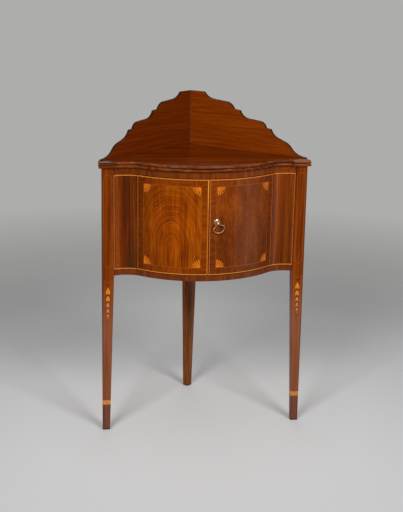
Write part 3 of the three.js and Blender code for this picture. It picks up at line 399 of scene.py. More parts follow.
def dust_sheen_and_shade(shader, place, grain, colour):
    """A leg: paler lower down from dust and painted sheen, greyer and darker at the foot, with painted shade
    on its outer side face and edge.
    """
    height, along, _ = shader.parts(place)
    # Dust and painted sheen: the lower leg paler and greyer
    dust_and_sheen = shader.times(shader.span(height, 0.44, 0.3), 0.72)
    streaks = shader.stretched(grain, (5, 300, 300), 3, 0.6)
    low = shader.ramp(streaks, tones((112, 64, 42), (128, 77, 53), (144, 92, 68), 0.34, 0.66))
    foot = shader.ramp(streaks, tones((84, 52, 42), (104, 67, 55), (122, 82, 70), 0.34, 0.66))
    splay = shader.times(height, LEG_SPLAY / TOP_UNDER)
    outer = shader.minus((HALF_SPAN + LEG_SPLAY) * MM, splay)
    from_edge = shader.minus(outer, shader.math("ABSOLUTE", along))
    # A brighter band low down, with painted shade near the outer edge
    rising, falling = shader.span(height, 0.19, 0.27, 1.0, 1.12), shader.span(height, 0.33, 0.42, 1.12, 1.0)
    band_lift = shader.math("MINIMUM", rising, falling)
    low = darkened(shader, low, shader.times(band_lift, shader.span(from_edge, 1.5 * MM, 4 * MM, 0.76, 1.0)))
    colour = shader.mix(dust_and_sheen, colour, shader.mix(shader.span(height, 0.07, 0.1), foot, low))
    # Painted shade on the outer side face and edge, which the lamps light
    colour = darkened(shader, colour, shader.span(from_edge, 0.8 * MM, 3 * MM, 0.6, 1.0))
    return darker_foot_end(shader, place, grain, colour)


def satinwood(name, light, dark, shaded=False, worn=None):
    """Light inlay. Shaded: scorched at its edges. Worn: the colour it has lower on the door."""
    shader = Shader(bpy.data.materials.new(name))
    grain = grain_coordinates(shader, "grain")
    threads = shader.stretched(grain, (60, 900, 900), 3, 0.6)
    clouds = shader.noise(grain, 120.0, 2)
    value = shader.add(shader.times(threads, 0.5), shader.times(clouds, 0.5))
    colour = shader.ramp(value, ((0.35, srgb(*dark)), (0.65, srgb(*light))))
    if worn:
        height = shader.parts(grain)[0]
        colour = shader.mix(shader.span(height, 0.69, 0.65, 0.0, 0.8), colour, opaque(*worn))
    if shaded:
        scorch = shader.node("Attribute", out="Fac", attribute_name="scorch")
        colour = shader.mix(scorch, colour, opaque(70, 20, 3))
    return shader.varnished(colour, 0.3, 0.18, 0.05, shader.bump(threads, 0.15, 0.0001))


def brass(name, light, dark, roughness):
    """Brass with spots of tarnish, and more of it in crevices."""
    shader = Shader(bpy.data.materials.new(name))
    place = shader.object_place()
    spots = shader.noise(place, 420.0, 4, 0.6)
    fine = shader.noise(place, 1900.0, 2)
    tarnish = shader.span(shader.openness(0.003), 0.35, 0.95, 1.0, 0.0)
    tarnish = shader.add(tarnish, shader.span(spots, 0.5, 0.72, 0.0, 0.55), clamp=True)
    colour = shader.mix(tarnish, (*light, 1), (*dark, 1))
    return shader.finish(Base_Color=colour, Metallic=1.0,
                         Roughness=shader.add(roughness, shader.times(tarnish, 0.25)),
                         Normal=shader.bump(shader.add(spots, fine), 0.12, 0.00015))


# The levels across the doors are painted shade on their bowed faces
LEFT_SHADE = banded("left", tones((124, 49, 2), (142, 61, 3), (158, 74, 6), 0.34, 0.66),
                    ((0.02, 0.5), (0.27, 0.85), (0.6, 1.0), (0.8, 0.88)),
                    ((0.17, 0.81), (0.51, 1.0), (0.85, 0.8)))
RIGHT_SHADE = banded("right", tones((104, 40, 3), (122, 51, 6), (138, 63, 10), 0.34, 0.66),
                     ((0.1, 0.8), (0.75, 1.0)), ((0.37, 0.76), (0.68, 1.0)))
LEFT_KNOTS = ((-74, 523), (-170, 517), (-30, 523))
LEFT_DOOR = wood("veneer_left", tones((112, 41, 1), (151, 65, 2), (178, 87, 5)), figure=flame, pores=0.3,
                 sheen=0.05, coat=0.03, shade=knotted(LEFT_SHADE, LEFT_KNOTS))
RIGHT_DOOR = wood("veneer_right", tones((92, 34, 3), (124, 53, 6), (150, 72, 12)), seed=3.1,
                  figure=mottle, pores=0.4, shade=RIGHT_SHADE)
PANEL_STREAKS = (1.2, 90, 90)
PANEL_LEFT = wood("veneer_panel_left", tones((72, 25, 2), (105, 42, 4), (138, 63, 10)), seed=5.3,
                  broad=PANEL_STREAKS, shade=darker_by_door)
PANEL_RIGHT = wood("veneer_panel_right", tones((92, 35, 3), (123, 53, 6), (148, 70, 11)), seed=8.9,
                   broad=PANEL_STREAKS, shade=toward(216, 248, 0.68, 0.92, 1.18))
CROSSBANDING = {"seed": 11.7, "broad": (14, 110, 110), "sheen": 0.08}
# Painted reflection: the upper rail lighter towards the right
RAIL_HIGH = wood("crossbanding", tones((80, 31, 4), (102, 44, 8), (122, 57, 14), 0.34, 0.66),
                 shade=toward(-220, 60, 1.38), **CROSSBANDING)
RAIL_LOW = wood("crossbanding_low", tones((83, 35, 11), (106, 48, 16), (126, 61, 24), 0.34, 0.66),
                **CROSSBANDING)
LEG = wood("leg_wood", tones((88, 33, 2), (113, 46, 4), (135, 60, 7)), seed=15.1, broad=(3, 150, 150),
           sheen=0.07, coat=0.03, shade=dust_sheen_and_shade)
TOP = wood("top_wood", tones((60, 18, 1), (90, 33, 1), (119, 50, 3), 0.36, 0.64), seed=19.9,
           broad=(2.6, 50, 50), roughness=0.1, sheen=0.26, coat=0.1, crevice_shade_strength=0.2)
TOP_EDGE = wood("top_edge_wood", tones((62, 22, 4), (103, 44, 10), (138, 69, 24)), seed=23.3,
                broad=(8, 150, 150), roughness=0.27, sheen=0.12, coat=0.05)
SPLASH = {"broad": (3.4, 130, 130), "broad_share": 0.45, "roughness": 0.24, "crevice_shade_strength": 0.12}
SPLASH_LEFT = wood("splash_left_wood", tones((80, 26, 1), (105, 39, 2), (130, 56, 5), 0.28, 0.72),
                   seed=27.1, shade=joint_light_and_shade, **SPLASH)
SPLASH_RIGHT = wood("splash_right_wood", tones((98, 35, 1), (126, 51, 3), (152, 72, 7), 0.28, 0.72),
                    seed=31.7, **SPLASH)
# Painted shade with the darker end grain: the boards' edges stay dark where the lamps light them from above
SPLASH_EDGE = wood("splash_edge_wood", tones((38, 14, 2), (60, 26, 6), (84, 40, 12)), seed=33.3,
                   roughness=0.6, sheen=0.03, coat=0.0)
EDGE = wood("solid_edge", tones((60, 22, 6), (98, 42, 14), (124, 60, 24)), seed=35.9)
BACK_LEG_WOOD = wood("back_leg_wood", tones((82, 38, 12), (122, 66, 28), (154, 92, 46)), seed=39.1,
                     shade=darker_foot_end)
INNER_TONES = tones((132, 74, 36), (176, 108, 60), (204, 138, 86), 0.32, 0.68)
INNER = {
    turn: wood("inner_wood_" + turn, INNER_TONES, source=turn, seed=2.3, pores=0.25, roughness=0.6, coat=0.0)
    for turn in ("x", "left", "right")
}
INNER_FACE = wood("inner_face", tones((96, 52, 24), (136, 84, 44), (160, 108, 62)), seed=44.3,
                  roughness=0.5, coat=0.0)
STRING = satinwood("string_bright", (226, 142, 60), (196, 112, 38))
STRING_VIVID = satinwood("string_vivid", (240, 146, 40), (214, 120, 26), worn=(168, 88, 30))
STRING_DULL = satinwood("string_dull", (196, 116, 46), (164, 90, 32))
STRING_FAINT = satinwood("string_faint", (166, 92, 32), (140, 70, 20))
FAN = satinwood("fan_inlay", (236, 133, 25), (190, 85, 8), shaded=True)
BELL = satinwood("bell_inlay", (226, 140, 34), (202, 112, 20), shaded=True)
BELL_WORN = satinwood("bell_inlay_worn", (210, 138, 84), (182, 106, 54), shaded=True)
BAND = satinwood("cuff_inlay", (206, 134, 76), (176, 104, 52))
DOT = satinwood("ebony_dot", (52, 13, 6), (34, 8, 4))
BRASS = brass("aged_brass", (0.6, 0.48, 0.28), (0.16, 0.1, 0.05), 0.2)
# Painted reflection: the ring's brass tinted pinkish-brown by the wood it reflects, and darker with tarnish
BRASS_RING = brass("tarnished_brass_with_painted_reflection", (0.45, 0.24, 0.145), (0.15, 0.075, 0.04), 0.36)
BRASS_DARK = brass("old_brass", (0.48, 0.34, 0.2), (0.13, 0.07, 0.04), 0.32)


# Meshes
def put_in_scene(name, data):
    made = bpy.data.objects.new(name, data)
    bpy.context.scene.collection.objects.link(made)
    return made


def ease_edges(piece, width, harden=False):
    ease = piece.modifiers.new("ease", "BEVEL")
    ease.width = width * MM
    ease.segments = 2
    ease.limit_method = "ANGLE"
    ease.angle_limit = math.radians(40)
    ease.harden_normals = harden


def build(name, verts, faces, grain=None, face_slots=None, sharp=32.0, bevel=0.0, scorch=None):
    """A mesh object from millimetre points. Grain coordinates are millimetres too, X along the grain."""
    mesh = bpy.data.meshes.new(name)
    mesh.from_pydata([[c * MM for c in v] for v in verts], [], [list(f) for f in faces])
    if face_slots:
        mesh.polygons.foreach_set("material_index", face_slots)
    made = bmesh.new()
    made.from_mesh(mesh)
    bmesh.ops.recalc_face_normals(made, faces=made.faces)
    for face in made.faces:
        face.smooth = True
    for edge in made.edges:
        edge.smooth = len(edge.link_faces) == 2 and edge.calc_face_angle() < math.radians(sharp)
    made.to_mesh(mesh)
    made.free()
    stored = mesh.attributes.new("grain", "FLOAT_VECTOR", "POINT")
    stored.data.foreach_set("vector", [c * MM for g in (grain or verts) for c in g])
    if scorch:
        mesh.attributes.new("scorch", "FLOAT", "POINT").data.foreach_set("value", scorch)
    piece = put_in_scene(name, mesh)
    if bevel:
        ease_edges(piece, bevel, harden=True)
    return piece


def dress(piece, body, slot, materials, *nodes):
    """Gives a piece its materials and body, and hides the CAD nodes that it replaces. The slot is not used.
    """
    for material in materials if isinstance(materials, (list, tuple)) else [materials]:
        piece.data.materials.append(material)
    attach(piece, body)
    if nodes:
        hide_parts(*nodes)
    return piece


def joined_rings(rings):
    """Points, side faces and two end faces of a tube through rings that all have as many points."""
    count = len(rings[0])
    verts = [point for ring in rings for point in ring]
    sides = []
    for start in range(0, len(verts) - count, count):
        for i in range(count):
            a, b = start + i, start + (i + 1) % count
            sides.append((a, b, b + count, a + count))
    ends = [tuple(reversed(range(count))), tuple(range(len(verts) - count, len(verts)))]
    return verts, sides, ends


def curve_point(along, depth, height):
    """A point behind the face, at a length along it from the middle."""
    reach = abs(along)
    on_bow = reach <= BOW_ARC
    heading = reach / BOW_RADIUS if on_bow else BOW_ANGLE - (reach - BOW_ARC) / HOLLOW_RADIUS
    sine, cosine = math.sin(heading), math.cos(heading)
    x = BOW_RADIUS * sine if on_bow else HOLLOW_CENTRE - HOLLOW_RADIUS * sine
    y = BOW_RADIUS * (1 - cosine) if on_bow else BOW_RISE + HOLLOW_RADIUS * (cosine - math.cos(BOW_ANGLE))
    return (math.copysign(x - depth * sine, along), BOW_FRONT + y + depth * cosine + SHIFT, height)


def stations(start, end, step=3.5):
    """Places along the face, close enough to look smooth."""
    count = max(2, math.ceil((end - start) / step))
    return [start + (end - start) * i / count for i in range(count + 1)]


def face_block(name, start, end, bottom, top, back, body, slot, materials, *nodes, bevel=0.5):
    """A piece that follows the face. Materials: front, edges, inner face."""
    reach = STILE_INNER - SEAM
    rings, grain = [], []
    for along in stations(start, end):
        ring = []
        for depth, height in ((0, bottom), (0, top), (back, top), (back, bottom)):
            x, y, z = curve_point(along, depth, height)
            ring.append((max(-reach, min(reach, x)), y, z))
            grain.append((height, along, depth))
        rings.append(ring)
    verts, sides, ends = joined_rings(rings)
    slots = [0, 1, 2, 1] * (len(rings) - 1) + [1, 1]
    return dress(build(name, verts, sides + ends, grain, slots, bevel=bevel), body, slot, materials, *nodes)


# Flat sheets for the inlay: points across and up, and faces that all turn the same way
def strip(points, width, closed=False):
    """A string of even width along a line."""
    half = width / 2
    count = len(points)
    sheet = []
    for i, (x, y) in enumerate(points):
        before = points[i - 1] if closed or i else points[i]
        after = points[(i + 1) % count] if closed or i < count - 1 else points[i]
        first = Vector((x - before[0], y - before[1]))
        second = Vector((after[0] - x, after[1] - y))
        if first.length == 0:
            first = second
        if second.length == 0:
            second = first
        first.normalize()
        second.normalize()
        middle = (first + second).normalized()
        aside = Vector((-middle.y, middle.x)) * half / max(0.3, middle.dot(first))
        sheet += [(x + aside.x, y + aside.y), (x - aside.x, y - aside.y)]
    faces = []
    for i in range(count if closed else count - 1):
        a, b = 2 * i, 2 * ((i + 1) % count)
        faces.append((a, a + 1, b + 1, b))
    return sheet, faces


def rectangle_line(left, right, bottom, top):
    """A closed line round a rectangle, with points close together along it."""
    line = [(x, bottom) for x in stations(left, right)]
    line += [(right, y) for y in stations(bottom, top, 20)[1:]]
    line += [(x, top) for x in reversed(stations(left, right)[:-1])]
    line += [(left, y) for y in reversed(stations(bottom, top, 20)[1:-1])]
    return line


def upright_edging(along, width):
    """The string beside an upright edge of a door or panel."""
    return strip([(along, DOOR_BOTTOM + EDGING_END), (along, DOOR_TOP - EDGING_END)], width)


def level_edging(start, end):
    """The strings along the upper and the lower edge of a door or panel."""
    heights = (DOOR_TOP - EDGING_INSET, DOOR_BOTTOM + EDGING_INSET)
    return together([strip([(x, height) for x in stations(start, end)], EDGING_WIDTH) for height in heights])


def polygon(points):
    return list(points), [tuple(range(len(points)))]


def together(sheets):
    points, faces = [], []
    for sheet, sheet_faces in sheets:
        faces += [tuple(i + len(points) for i in face) for face in sheet_faces]
        points += sheet
    return points, faces


def laid_in(name, sheet, place, proud=0.06, scorch=None):
    """A thin closed piece from a flat sheet: place puts across, up and depth into the CAD model's frame."""
    points, faces = sheet
    count = len(points)
    verts = [place(x, y, depth) for depth in (-proud, INLAY_DEPTH) for x, y in points]
    grain = [(y, x, depth) for depth in (0, INLAY_DEPTH) for x, y in points]
    edges = set()
    for face in faces:
        for a, b in zip(face, face[1:] + face[:1]):
            if (b, a) in edges:
                edges.remove((b, a))
            else:
                edges.add((a, b))
    solid = list(faces) + [tuple(i + count for i in reversed(face)) for face in faces]
    solid += [(b, a, a + count, b + count) for a, b in sorted(edges)]
    return build(name, verts, solid, grain, sharp=20, scorch=list(scorch) * 2 if scorch else None)


def inlay(name, sheet, place, body, material, *nodes, scorch=None):
    return dress(laid_in(name, sheet, place, scorch=scorch), body, "satinwood", material, *nodes)


def on_face(x, y, depth):
    return curve_point(x, depth, y)


# Doors, fixed panels and rails
def petals(corner_x, corner_y, turn_x, turn_y):
    """A quarter fan from a corner: its petals as one sheet, and how dark each point is scorched."""
    pitch = math.pi / 2 / PETALS
    points, faces, scorch = [], [], []
    growth = math.sin(pitch / 2) - FAN_GAP_GROWTH / 2
    tip_centre = (FAN_RADIUS + FAN_GAP / 2 - FAN_HEART * FAN_GAP_GROWTH / 2) / (1 + growth)
    tip = FAN_RADIUS - tip_centre
    straight = [PETAL_START + (tip_centre - PETAL_START) * i / 5 for i in range(6)]
    lengths = straight + [tip_centre + tip * math.sin(math.radians(a)) for a in (30, 55, 75, 88)]
    across = (-1, -0.5, 0, 0.5, 1)

    def half_width(radius):
        gap = FAN_GAP + max(0.0, radius - FAN_HEART) * FAN_GAP_GROWTH
        return math.sin(pitch / 2) * radius - gap / 2

    def put(radius, heading, aside, burnt):
        x = radius * math.cos(heading) - aside * math.sin(heading)
        y = radius * math.sin(heading) + aside * math.cos(heading)
        points.append((corner_x + turn_x * x, corner_y + turn_y * y))
        scorch.append(burnt)

    def face(*corners):
        faces.append(corners if turn_x * turn_y > 0 else corners[::-1])

    for petal in range(PETALS):
        heading = (petal + 0.5) * pitch
        start = len(points)
        for radius in lengths:
            beyond = max(0.0, radius - tip_centre)
            width = math.sqrt(max(0.0, tip * tip - beyond * beyond)) if beyond else half_width(radius)
            for share in across:
                burnt = 0.45 * max(0.0, share) * min(1.0, radius / FAN_RADIUS) ** 2
                put(radius, heading, width * share, burnt)
        row = len(across)
        for i in range(len(lengths) - 1):
            for j in range(row - 1):
                a = start + i * row + j
                face(a, a + row, a + row + 1, a + 1)
        if petal == PETALS - 1:
            continue
        start = len(points)
        for radius in straight:
            put(radius, heading, half_width(radius), 1.0)
            put(radius, heading + pitch, -half_width(radius), 1.0)
        for i in range(len(straight) - 1):
            a = start + 2 * i
            face(a, a + 2, a + 3, a + 1)
    return (points, faces), scorch


for side, (start, end) in DOORS.items():
    body = "door_" + side
    left = side == "left"
    face_block(body + "_leaf", start, end, DOOR_BOTTOM, DOOR_TOP, DOOR_THICKNESS, body, "figured_mahogany",
               [LEFT_DOOR if left else RIGHT_DOOR, EDGE, INNER_FACE], body)
    meeting, hinge, inward = (end, start, -1) if left else (start, end, 1)
    inlay("edging_rails_" + side, level_edging(start, end), on_face, body, STRING, "door_edging_" + side)
    offset, width = MEETING_STRINGS[side]
    upright = upright_edging(meeting + inward * offset, width)
    inlay("edging_meeting_" + side, upright, on_face, body, STRING_VIVID if left else STRING_DULL)
    upright = upright_edging(hinge - inward * HINGE_STRING, HINGE_STRING)
    inlay("edging_hinge_" + side, upright, on_face, body, STRING_DULL)
    low, high = DOOR_BOTTOM + STRING_INSET, DOOR_TOP - STRING_INSET
    near, far = start + STRING_INSET, end - STRING_INSET
    line = rectangle_line(near + STRING_OFF, far - STRING_OFF, low + STRING_OFF, high - STRING_OFF)
    inlay("string_" + side, strip(line, STRING_WIDTH, True), on_face, body, STRING_FAINT,
          "door_string_" + side)
    for corner, x, y, turn_x, turn_y in (
        ("bottom_left", near, low, 1, 1), ("bottom_right", far, low, -1, 1),
        ("top_right", far, high, -1, -1), ("top_left", near, high, 1, -1),
    ):
        sheet, scorch = petals(x + FAN_SETBACK * turn_x, y + FAN_SETBACK * turn_y, turn_x, turn_y)
        inlay(f"fan_inlay_{side}_{corner}", sheet, on_face, body, FAN, f"fan_{side}_{corner}", scorch=scorch)

for side, sign, veneer in (("left", -1, PANEL_LEFT), ("right", 1, PANEL_RIGHT)):
    start, end = sorted((sign * (HINGE_LINE + PANEL_GAP), sign * PANEL_ARC))
    face_block("hollow_panel_" + side, start, end, RAIL_TOP, RAIL_UNDER, DOOR_THICKNESS, "root",
               "dark_mahogany", [veneer, EDGE, INNER_FACE], "fixed_panel_" + side, bevel=0.0)
    inlay("panel_string_rails_" + side, level_edging(start, end), on_face, "root", STRING,
          "panel_edging_" + side)
    upright = upright_edging(sign * (PANEL_ARC - STILE_EDGING_INSET), EDGING_WIDTH)
    inlay("panel_string_stile_" + side, upright, on_face, "root", STRING_DULL)

for name, bottom, top, veneer in (
    ("rail_top", RAIL_UNDER, TOP_UNDER, RAIL_HIGH), ("rail_bottom", CABINET_FOOT, RAIL_TOP, RAIL_LOW),
):
    face_block("serpentine_" + name, -PANEL_ARC, PANEL_ARC, bottom, top, RAIL_THICKNESS, "root", "mahogany",
               [veneer, EDGE, EDGE], name, bevel=0.4)


# Legs
def leg_section(height, inset=0.0):
    """Right front leg: its inner, outer, front and back faces at a height."""
    share = min(height / CABINET_FOOT, 1)
    inwards = FOOT_WIDTH - LEG_SPLAY + (LEG_WIDTH - FOOT_WIDTH + LEG_SPLAY) * share
    outwards = LEG_SPLAY * (1 - height / TOP_UNDER)
    depth = FOOT_DEPTH + (LEG_DEPTH - FOOT_DEPTH) * share
    return HALF_SPAN - inwards + inset, HALF_SPAN + outwards - inset, SHIFT + inset, SHIFT + depth - inset


def post(name, levels, corners, bevel, material, slot, node):
    """A tapered post from the corners of its section at each level."""
    verts, sides, ends = joined_rings([[(x, y, level) for x, y in corners(level)] for level in levels])
    grain = [(z, x, y) for x, y, z in verts]
    dress(build(name, verts, ends + sides, grain, sharp=10, bevel=bevel), "root", slot, material, node)


def front_leg_corners(side, inset):
    def corners(height):
        inner, outer, front, back = leg_section(height, inset)
        return [(side * x, y) for x, y in ((inner, front), (outer, front), (outer, back), (inner, back))]
    return corners


def leg_line(points):
    """More points along a line, so that it follows the taper."""
    line = []
    for (x0, y0), (x1, y1) in zip(points, points[1:]):
        count = max(1, math.ceil(abs(y1 - y0) / 40))
        line += [(x0 + (x1 - x0) * i / count, y0 + (y1 - y0) * i / count) for i in range(count)]
    return line + [points[-1]]


def bell(top, height, width):
    """A husk as three petals, each an outline: down from a narrow top, full, and parted at the foot."""
    def at(points):
        return [(x * width, top + y * height) for x, y in points]
    middle = at([(0, 0), (-0.08, -0.1), (-0.15, -0.35), (-0.17, -0.66), (-0.1, -0.9), (0, -0.98),
                 (0.1, -0.9), (0.17, -0.66), (0.15, -0.35), (0.08, -0.1)])
    wing = at([(-0.1, -0.08), (-0.2, -0.2), (-0.36, -0.38), (-0.48, -0.6), (-0.5, -0.78),
               (-0.42, -0.95), (-0.3, -0.98), (-0.2, -0.86), (-0.19, -0.6), (-0.17, -0.3)])
    return [middle, wing, [(-x, y) for x, y in reversed(wing)]]


def round_dot(radius, height):
    turns = [a * math.pi / 4 for a in range(8)]
    return polygon([(math.cos(turn) * radius, height + math.sin(turn) * radius) for turn in turns])


for side, sign in (("left", -1), ("right", 1)):
    levels = [0, 40, CUFF[0], CUFF[1], 200, 330, CABINET_FOOT, 600, TOP_UNDER]
    post("leg_" + side, levels, front_leg_corners(sign, 0), 0.6, LEG, "mahogany", "leg_front_" + side)
    post("cuff_band_" + side, CUFF, front_leg_corners(sign, -0.08), 0.5, BAND, "satinwood", "cuff_" + side)

    def on_leg(x, y, depth, sign=sign):
        inner, outer, _, _ = leg_section(y)
        return (sign * ((inner + outer) / 2 + x), SHIFT + depth, y)

    half = LEG_WIDTH / 2 - STILE_STRING_MARGIN
    arch = [(half, 489), (half, 600), (half, 727), (half * 0.78, 730.5), (half * 0.45, 734.5), (0, 737)]
    arch = [(0, 478)] + arch + [(-x, y) for x, y in arch[::-1][1:]]
    line_foot = CUFF[1] + 2
    inner, outer, _, _ = leg_section(line_foot)
    foot_half = (outer - inner) / 2 - FOOT_STRING_MARGIN
    notch = [(-half, NOTCH_TOP), (0, NOTCH_FOOT), (half, NOTCH_TOP)]
    lines = [strip(notch, LEG_STRING_WIDTH)]
    for hand in (1, -1):
        down = leg_line([(hand * half, NOTCH_TOP), (hand * foot_half, line_foot)])
        cross = [(hand * 0.6, 432.6), (hand * 4.6, 426), (hand * 8.6, 419)]
        lines += [strip(down, LEG_STRING_WIDTH), strip(cross, CROSS_STRING_WIDTH)]
    inlay("stile_line_" + side, strip(arch, LEG_STRING_WIDTH, True), on_leg, "root", STRING_FAINT,
          "stile_string_" + side)
    inlay("leg_line_" + side, together(lines), on_leg, "root", STRING_FAINT, "leg_string_" + side)
    husks, worn_husks, dots = [], [], []
    for number, (top, height, width) in enumerate(BELLS):
        bright = number < 2
        (husks if bright else worn_husks).extend(polygon(outline) for outline in bell(top, height, width))
        radius, rise = NEXT_DOT if number else FIRST_DOT
        dots.append(round_dot(radius, top + rise))
    worn_husks.append(round_dot(*END_DOT))
    for name, sheets, material, nodes in (
        ("husks_", husks, BELL, ["bellflowers_" + side]), ("worn_husks_", worn_husks, BELL_WORN, []),
    ):
        tips = [0.4 * (i == 0) for points, _ in sheets for i in range(len(points))]
        inlay(name + side, together(sheets), on_leg, "root", material, *nodes, scorch=tips)
    dress(laid_in("husk_dots_" + side, together(dots), on_leg, proud=0.07), "root", "mahogany", DOT)


def against_wall(along, inwards, height, side=1, reach=CARCASS_REACH):
    """A point at a length along one of the two walls and a distance from it."""
    return (side * (along - inwards) / ROOT2, reach - (along + inwards) / ROOT2 + SHIFT, height)


def back_leg_corners(height):
    side = BACK_FOOT + (BACK_LEG - BACK_FOOT) * min(height / CABINET_FOOT, 1)
    return [against_wall(x, y, 0)[:2] for x, y in ((0, 0), (side, 0), (side, side), (0, side))]


post("back_leg", [0, 150, 300, CABINET_FOOT, TOP_UNDER], back_leg_corners, 0.6, BACK_LEG_WOOD, "mahogany",
     "leg_back")


# Top and splash boards
def top_ring(draw_in, height):
    """The top's outline at a height, drawn in from its widest."""
    offset = TOP_OVERHANG - draw_in
    side = STILE_INNER - TOP_EAR + draw_in
    heading = math.asin((HOLLOW_CENTRE - side) / (HOLLOW_RADIUS - offset))
    reach = BOW_ARC + HOLLOW_RADIUS * (BOW_ANGLE - heading)
    places = [-reach + 2 * reach * i / FRONT_STEPS for i in range(FRONT_STEPS + 1)]
    front, end = SHIFT + draw_in - TOP_OVERHANG, HALF_SPAN + TOP_EAR - draw_in
    back = SHIFT + WALL_REACH
    corners = ((side, front), (end, front), (end, back - end), (0, back), (-end, back - end),
               (-end, front), (-side, front))
    return [curve_point(along, -offset, height) for along in places] + [(x, y, height) for x, y in corners]


rings = []
for reed in range(REEDS):
    middle = TOP_UNDER + REED_RADIUS * (1 + 2 * reed)
    for i in range(1 if reed else 0, REED_STEPS + 1):
        turn = (i / REED_STEPS - 0.5) * math.pi
        depth = UNDER_REED_DEPTH if reed == 0 and turn < 0 else REED_RADIUS
        rings.append(top_ring(depth * (1 - math.cos(turn)), middle + REED_RADIUS * math.sin(turn)))
verts, sides, ends = joined_rings(rings)
slots = [1, 0] + [1] * len(sides)
dress(build("moulded_top", verts, ends + sides, None, slots, sharp=50), "root", "mahogany", [TOP, TOP_EDGE],
      "top_board")


def splash_outline(start):
    """A splash board's outline, along the wall and up, from the corner of the room."""
    line = [(start, 0), (start, SPLASH_RISE)]
    for bend, end in SPLASH_OUTLINE:
        goal = (end[0] * SPLASH_LENGTH, end[1] * SPLASH_RISE)
        if bend is None:
            line.append(goal)
            continue
        pull = (bend[0] * SPLASH_LENGTH, bend[1] * SPLASH_RISE)
        first = line[-1]
        for i in range(1, 11):
            t = i / 10
            line.append(tuple((1 - t) ** 2 * a + 2 * t * (1 - t) * b + t * t * c
                              for a, b, c in zip(first, pull, goal)))
    line.append((SPLASH_LENGTH, 0))
    return line


for side, sign, start, material, slot in (
    ("left", -1, 0.0, SPLASH_LEFT, "dark_mahogany"),
    ("right", 1, SPLASH_THICKNESS + SEAM, SPLASH_RIGHT, "mahogany"),
):
    line = splash_outline(start)
    layers = (0, SPLASH_THICKNESS)
    grain = [(x, y, depth) for depth in layers for x, y in line]
    rings = [[against_wall(x, depth, TOP_HEIGHT + y, sign, WALL_REACH) for x, y in line] for depth in layers]
    verts, sides, ends = joined_rings(rings)
    faces = [end[::-1] for end in ends] + sides  # build turns them all outward
    slots = [0, 0] + [1] * len(sides)
    dress(build("splash_" + side, verts, faces, grain, slots, sharp=25, bevel=0.5), "root", slot,
          [material, SPLASH_EDGE], "splash_board_" + side)


# Pull
FACE_TURN = math.radians(4.0909)
ACROSS = Vector((math.cos(FACE_TURN), math.sin(FACE_TURN), 0))
INWARDS = Vector((-ACROSS.y, ACROSS.x, 0))
PULL_X = ACROSS * math.cos(PULL_TILT) + Vector((0, 0, math.sin(PULL_TILT)))
PULL_UP = Vector((0, 0, math.cos(PULL_TILT))) - ACROSS * math.sin(PULL_TILT)
PULL_PLACE = Vector(curve_point(PULL_ALONG, 0, PULL_HEIGHT))


def on_pull(x, y, z):
    return tuple(PULL_PLACE + PULL_X * x + INWARDS * y + PULL_UP * z)


def turned(name, profile, sides=40, lobes=0, lobe_depth=0.0, lobe_range=(0, 0)):
    """A turned body about the pull's own axis; some of its rings may be lobed like petals."""
    rings = []
    for radius, depth in profile:
        ring = []
        lobed = lobe_range[0] <= radius <= lobe_range[1]
        for i in range(sides):
            turn = 2 * math.pi * i / sides
            wave = lobe_depth * abs(math.sin(lobes * turn / 2)) if lobed else 0
            ring.append(on_pull((radius + wave) * math.cos(turn), depth, (radius + wave) * math.sin(turn)))
        rings.append(ring)
    verts, faces, ends = joined_rings(rings)
    return build(name, verts, faces + ends, sharp=40)


rosette = [(2.9, -0.3), (7.4, -0.3), (7.5, -0.7), (7.1, -1.1), (6.2, -1.3), (5.9, -1.0), (5.5, -1.0),
           (5.1, -1.6), (4.4, -1.9), (2.9, -1.9)]
dress(turned("rosette", rosette, sides=64, lobes=10, lobe_depth=0.55, lobe_range=(7.0, 8)), "door_right",
      "brass", BRASS, "pull_rosette")
spindle = [(0.02, 24.2), (2.3, 24.2), (2.5, 23.9), (2.5, -1.9)]
neck = [(4.0, -1.95), (4.2, -2.5), (3.9, -3.1), (3.5, -3.4), (3.5, -7.4), (3.7, -8.0), (3.8, -8.7),
        (3.8, -9.5), (3.4, -10.2), (2.3, -10.6), (2.1, -11.4)]
angles = [math.radians(28 + 152 * i / 14) for i in range(15)]
finial = [(max(0.02, 4.4 * math.sin(a)), -15.6 + 4.4 * math.cos(a)) for a in angles]
dress(turned("post_and_finial", spindle + neck + finial), "latch", "brass", BRASS, "pull_post")


def wire(name, path, radii):
    """A bent wire in the plane of the ring, its thickness given at each point."""
    sides = 12
    rings = []
    for i, ((x, z), radius) in enumerate(zip(path, radii)):
        before, after = path[max(0, i - 1)], path[min(len(path) - 1, i + 1)]
        run = Vector((after[0] - before[0], after[1] - before[1])).normalized()
        ring = []
        for j in range(sides):
            turn = 2 * math.pi * j / sides
            off = radius * math.cos(turn)
            ring.append(on_pull(x - run.y * off, -RING_REACH + radius * math.sin(turn), z + run.x * off))
        rings.append(ring)
    verts, faces, ends = joined_rings(rings)
    return build(name, verts, faces + ends, sharp=60)


# The ring, half of its line from the post down to the bow, with the wire's radius at each point
arm = [(2.4, 0.0), (4.9, -0.3), (5.4, -2.4), (6.0, -5.8), (7.4, -8.7), (9.6, -10.9), (12.0, -12.4)]
arm_sizes = [1.0, 1.1, 1.15, 1.2, 1.3, 1.2, 1.25]
knob = [(13.6, -13.0), (14.6, -13.6), (15.2, -14.6)]
knob_sizes = [1.9, 2.2, 1.7]
middle_height = -RING_DROP + 1
steps = range(37)
angles = [math.pi * (1.03 + 0.94 * i / 36) for i in steps]
bow = [(RING_RADIUS * math.cos(a) * 1.03, middle_height + RING_RADIUS * math.sin(a)) for a in angles]
bow_sizes = [1.15 + 0.3 * math.sin(math.pi * i / 36) ** 4 for i in steps]
path = [(-x, z) for x, z in arm + knob] + bow + (arm + knob)[::-1]
sizes = arm_sizes + knob_sizes + bow_sizes + (arm_sizes + knob_sizes)[::-1]
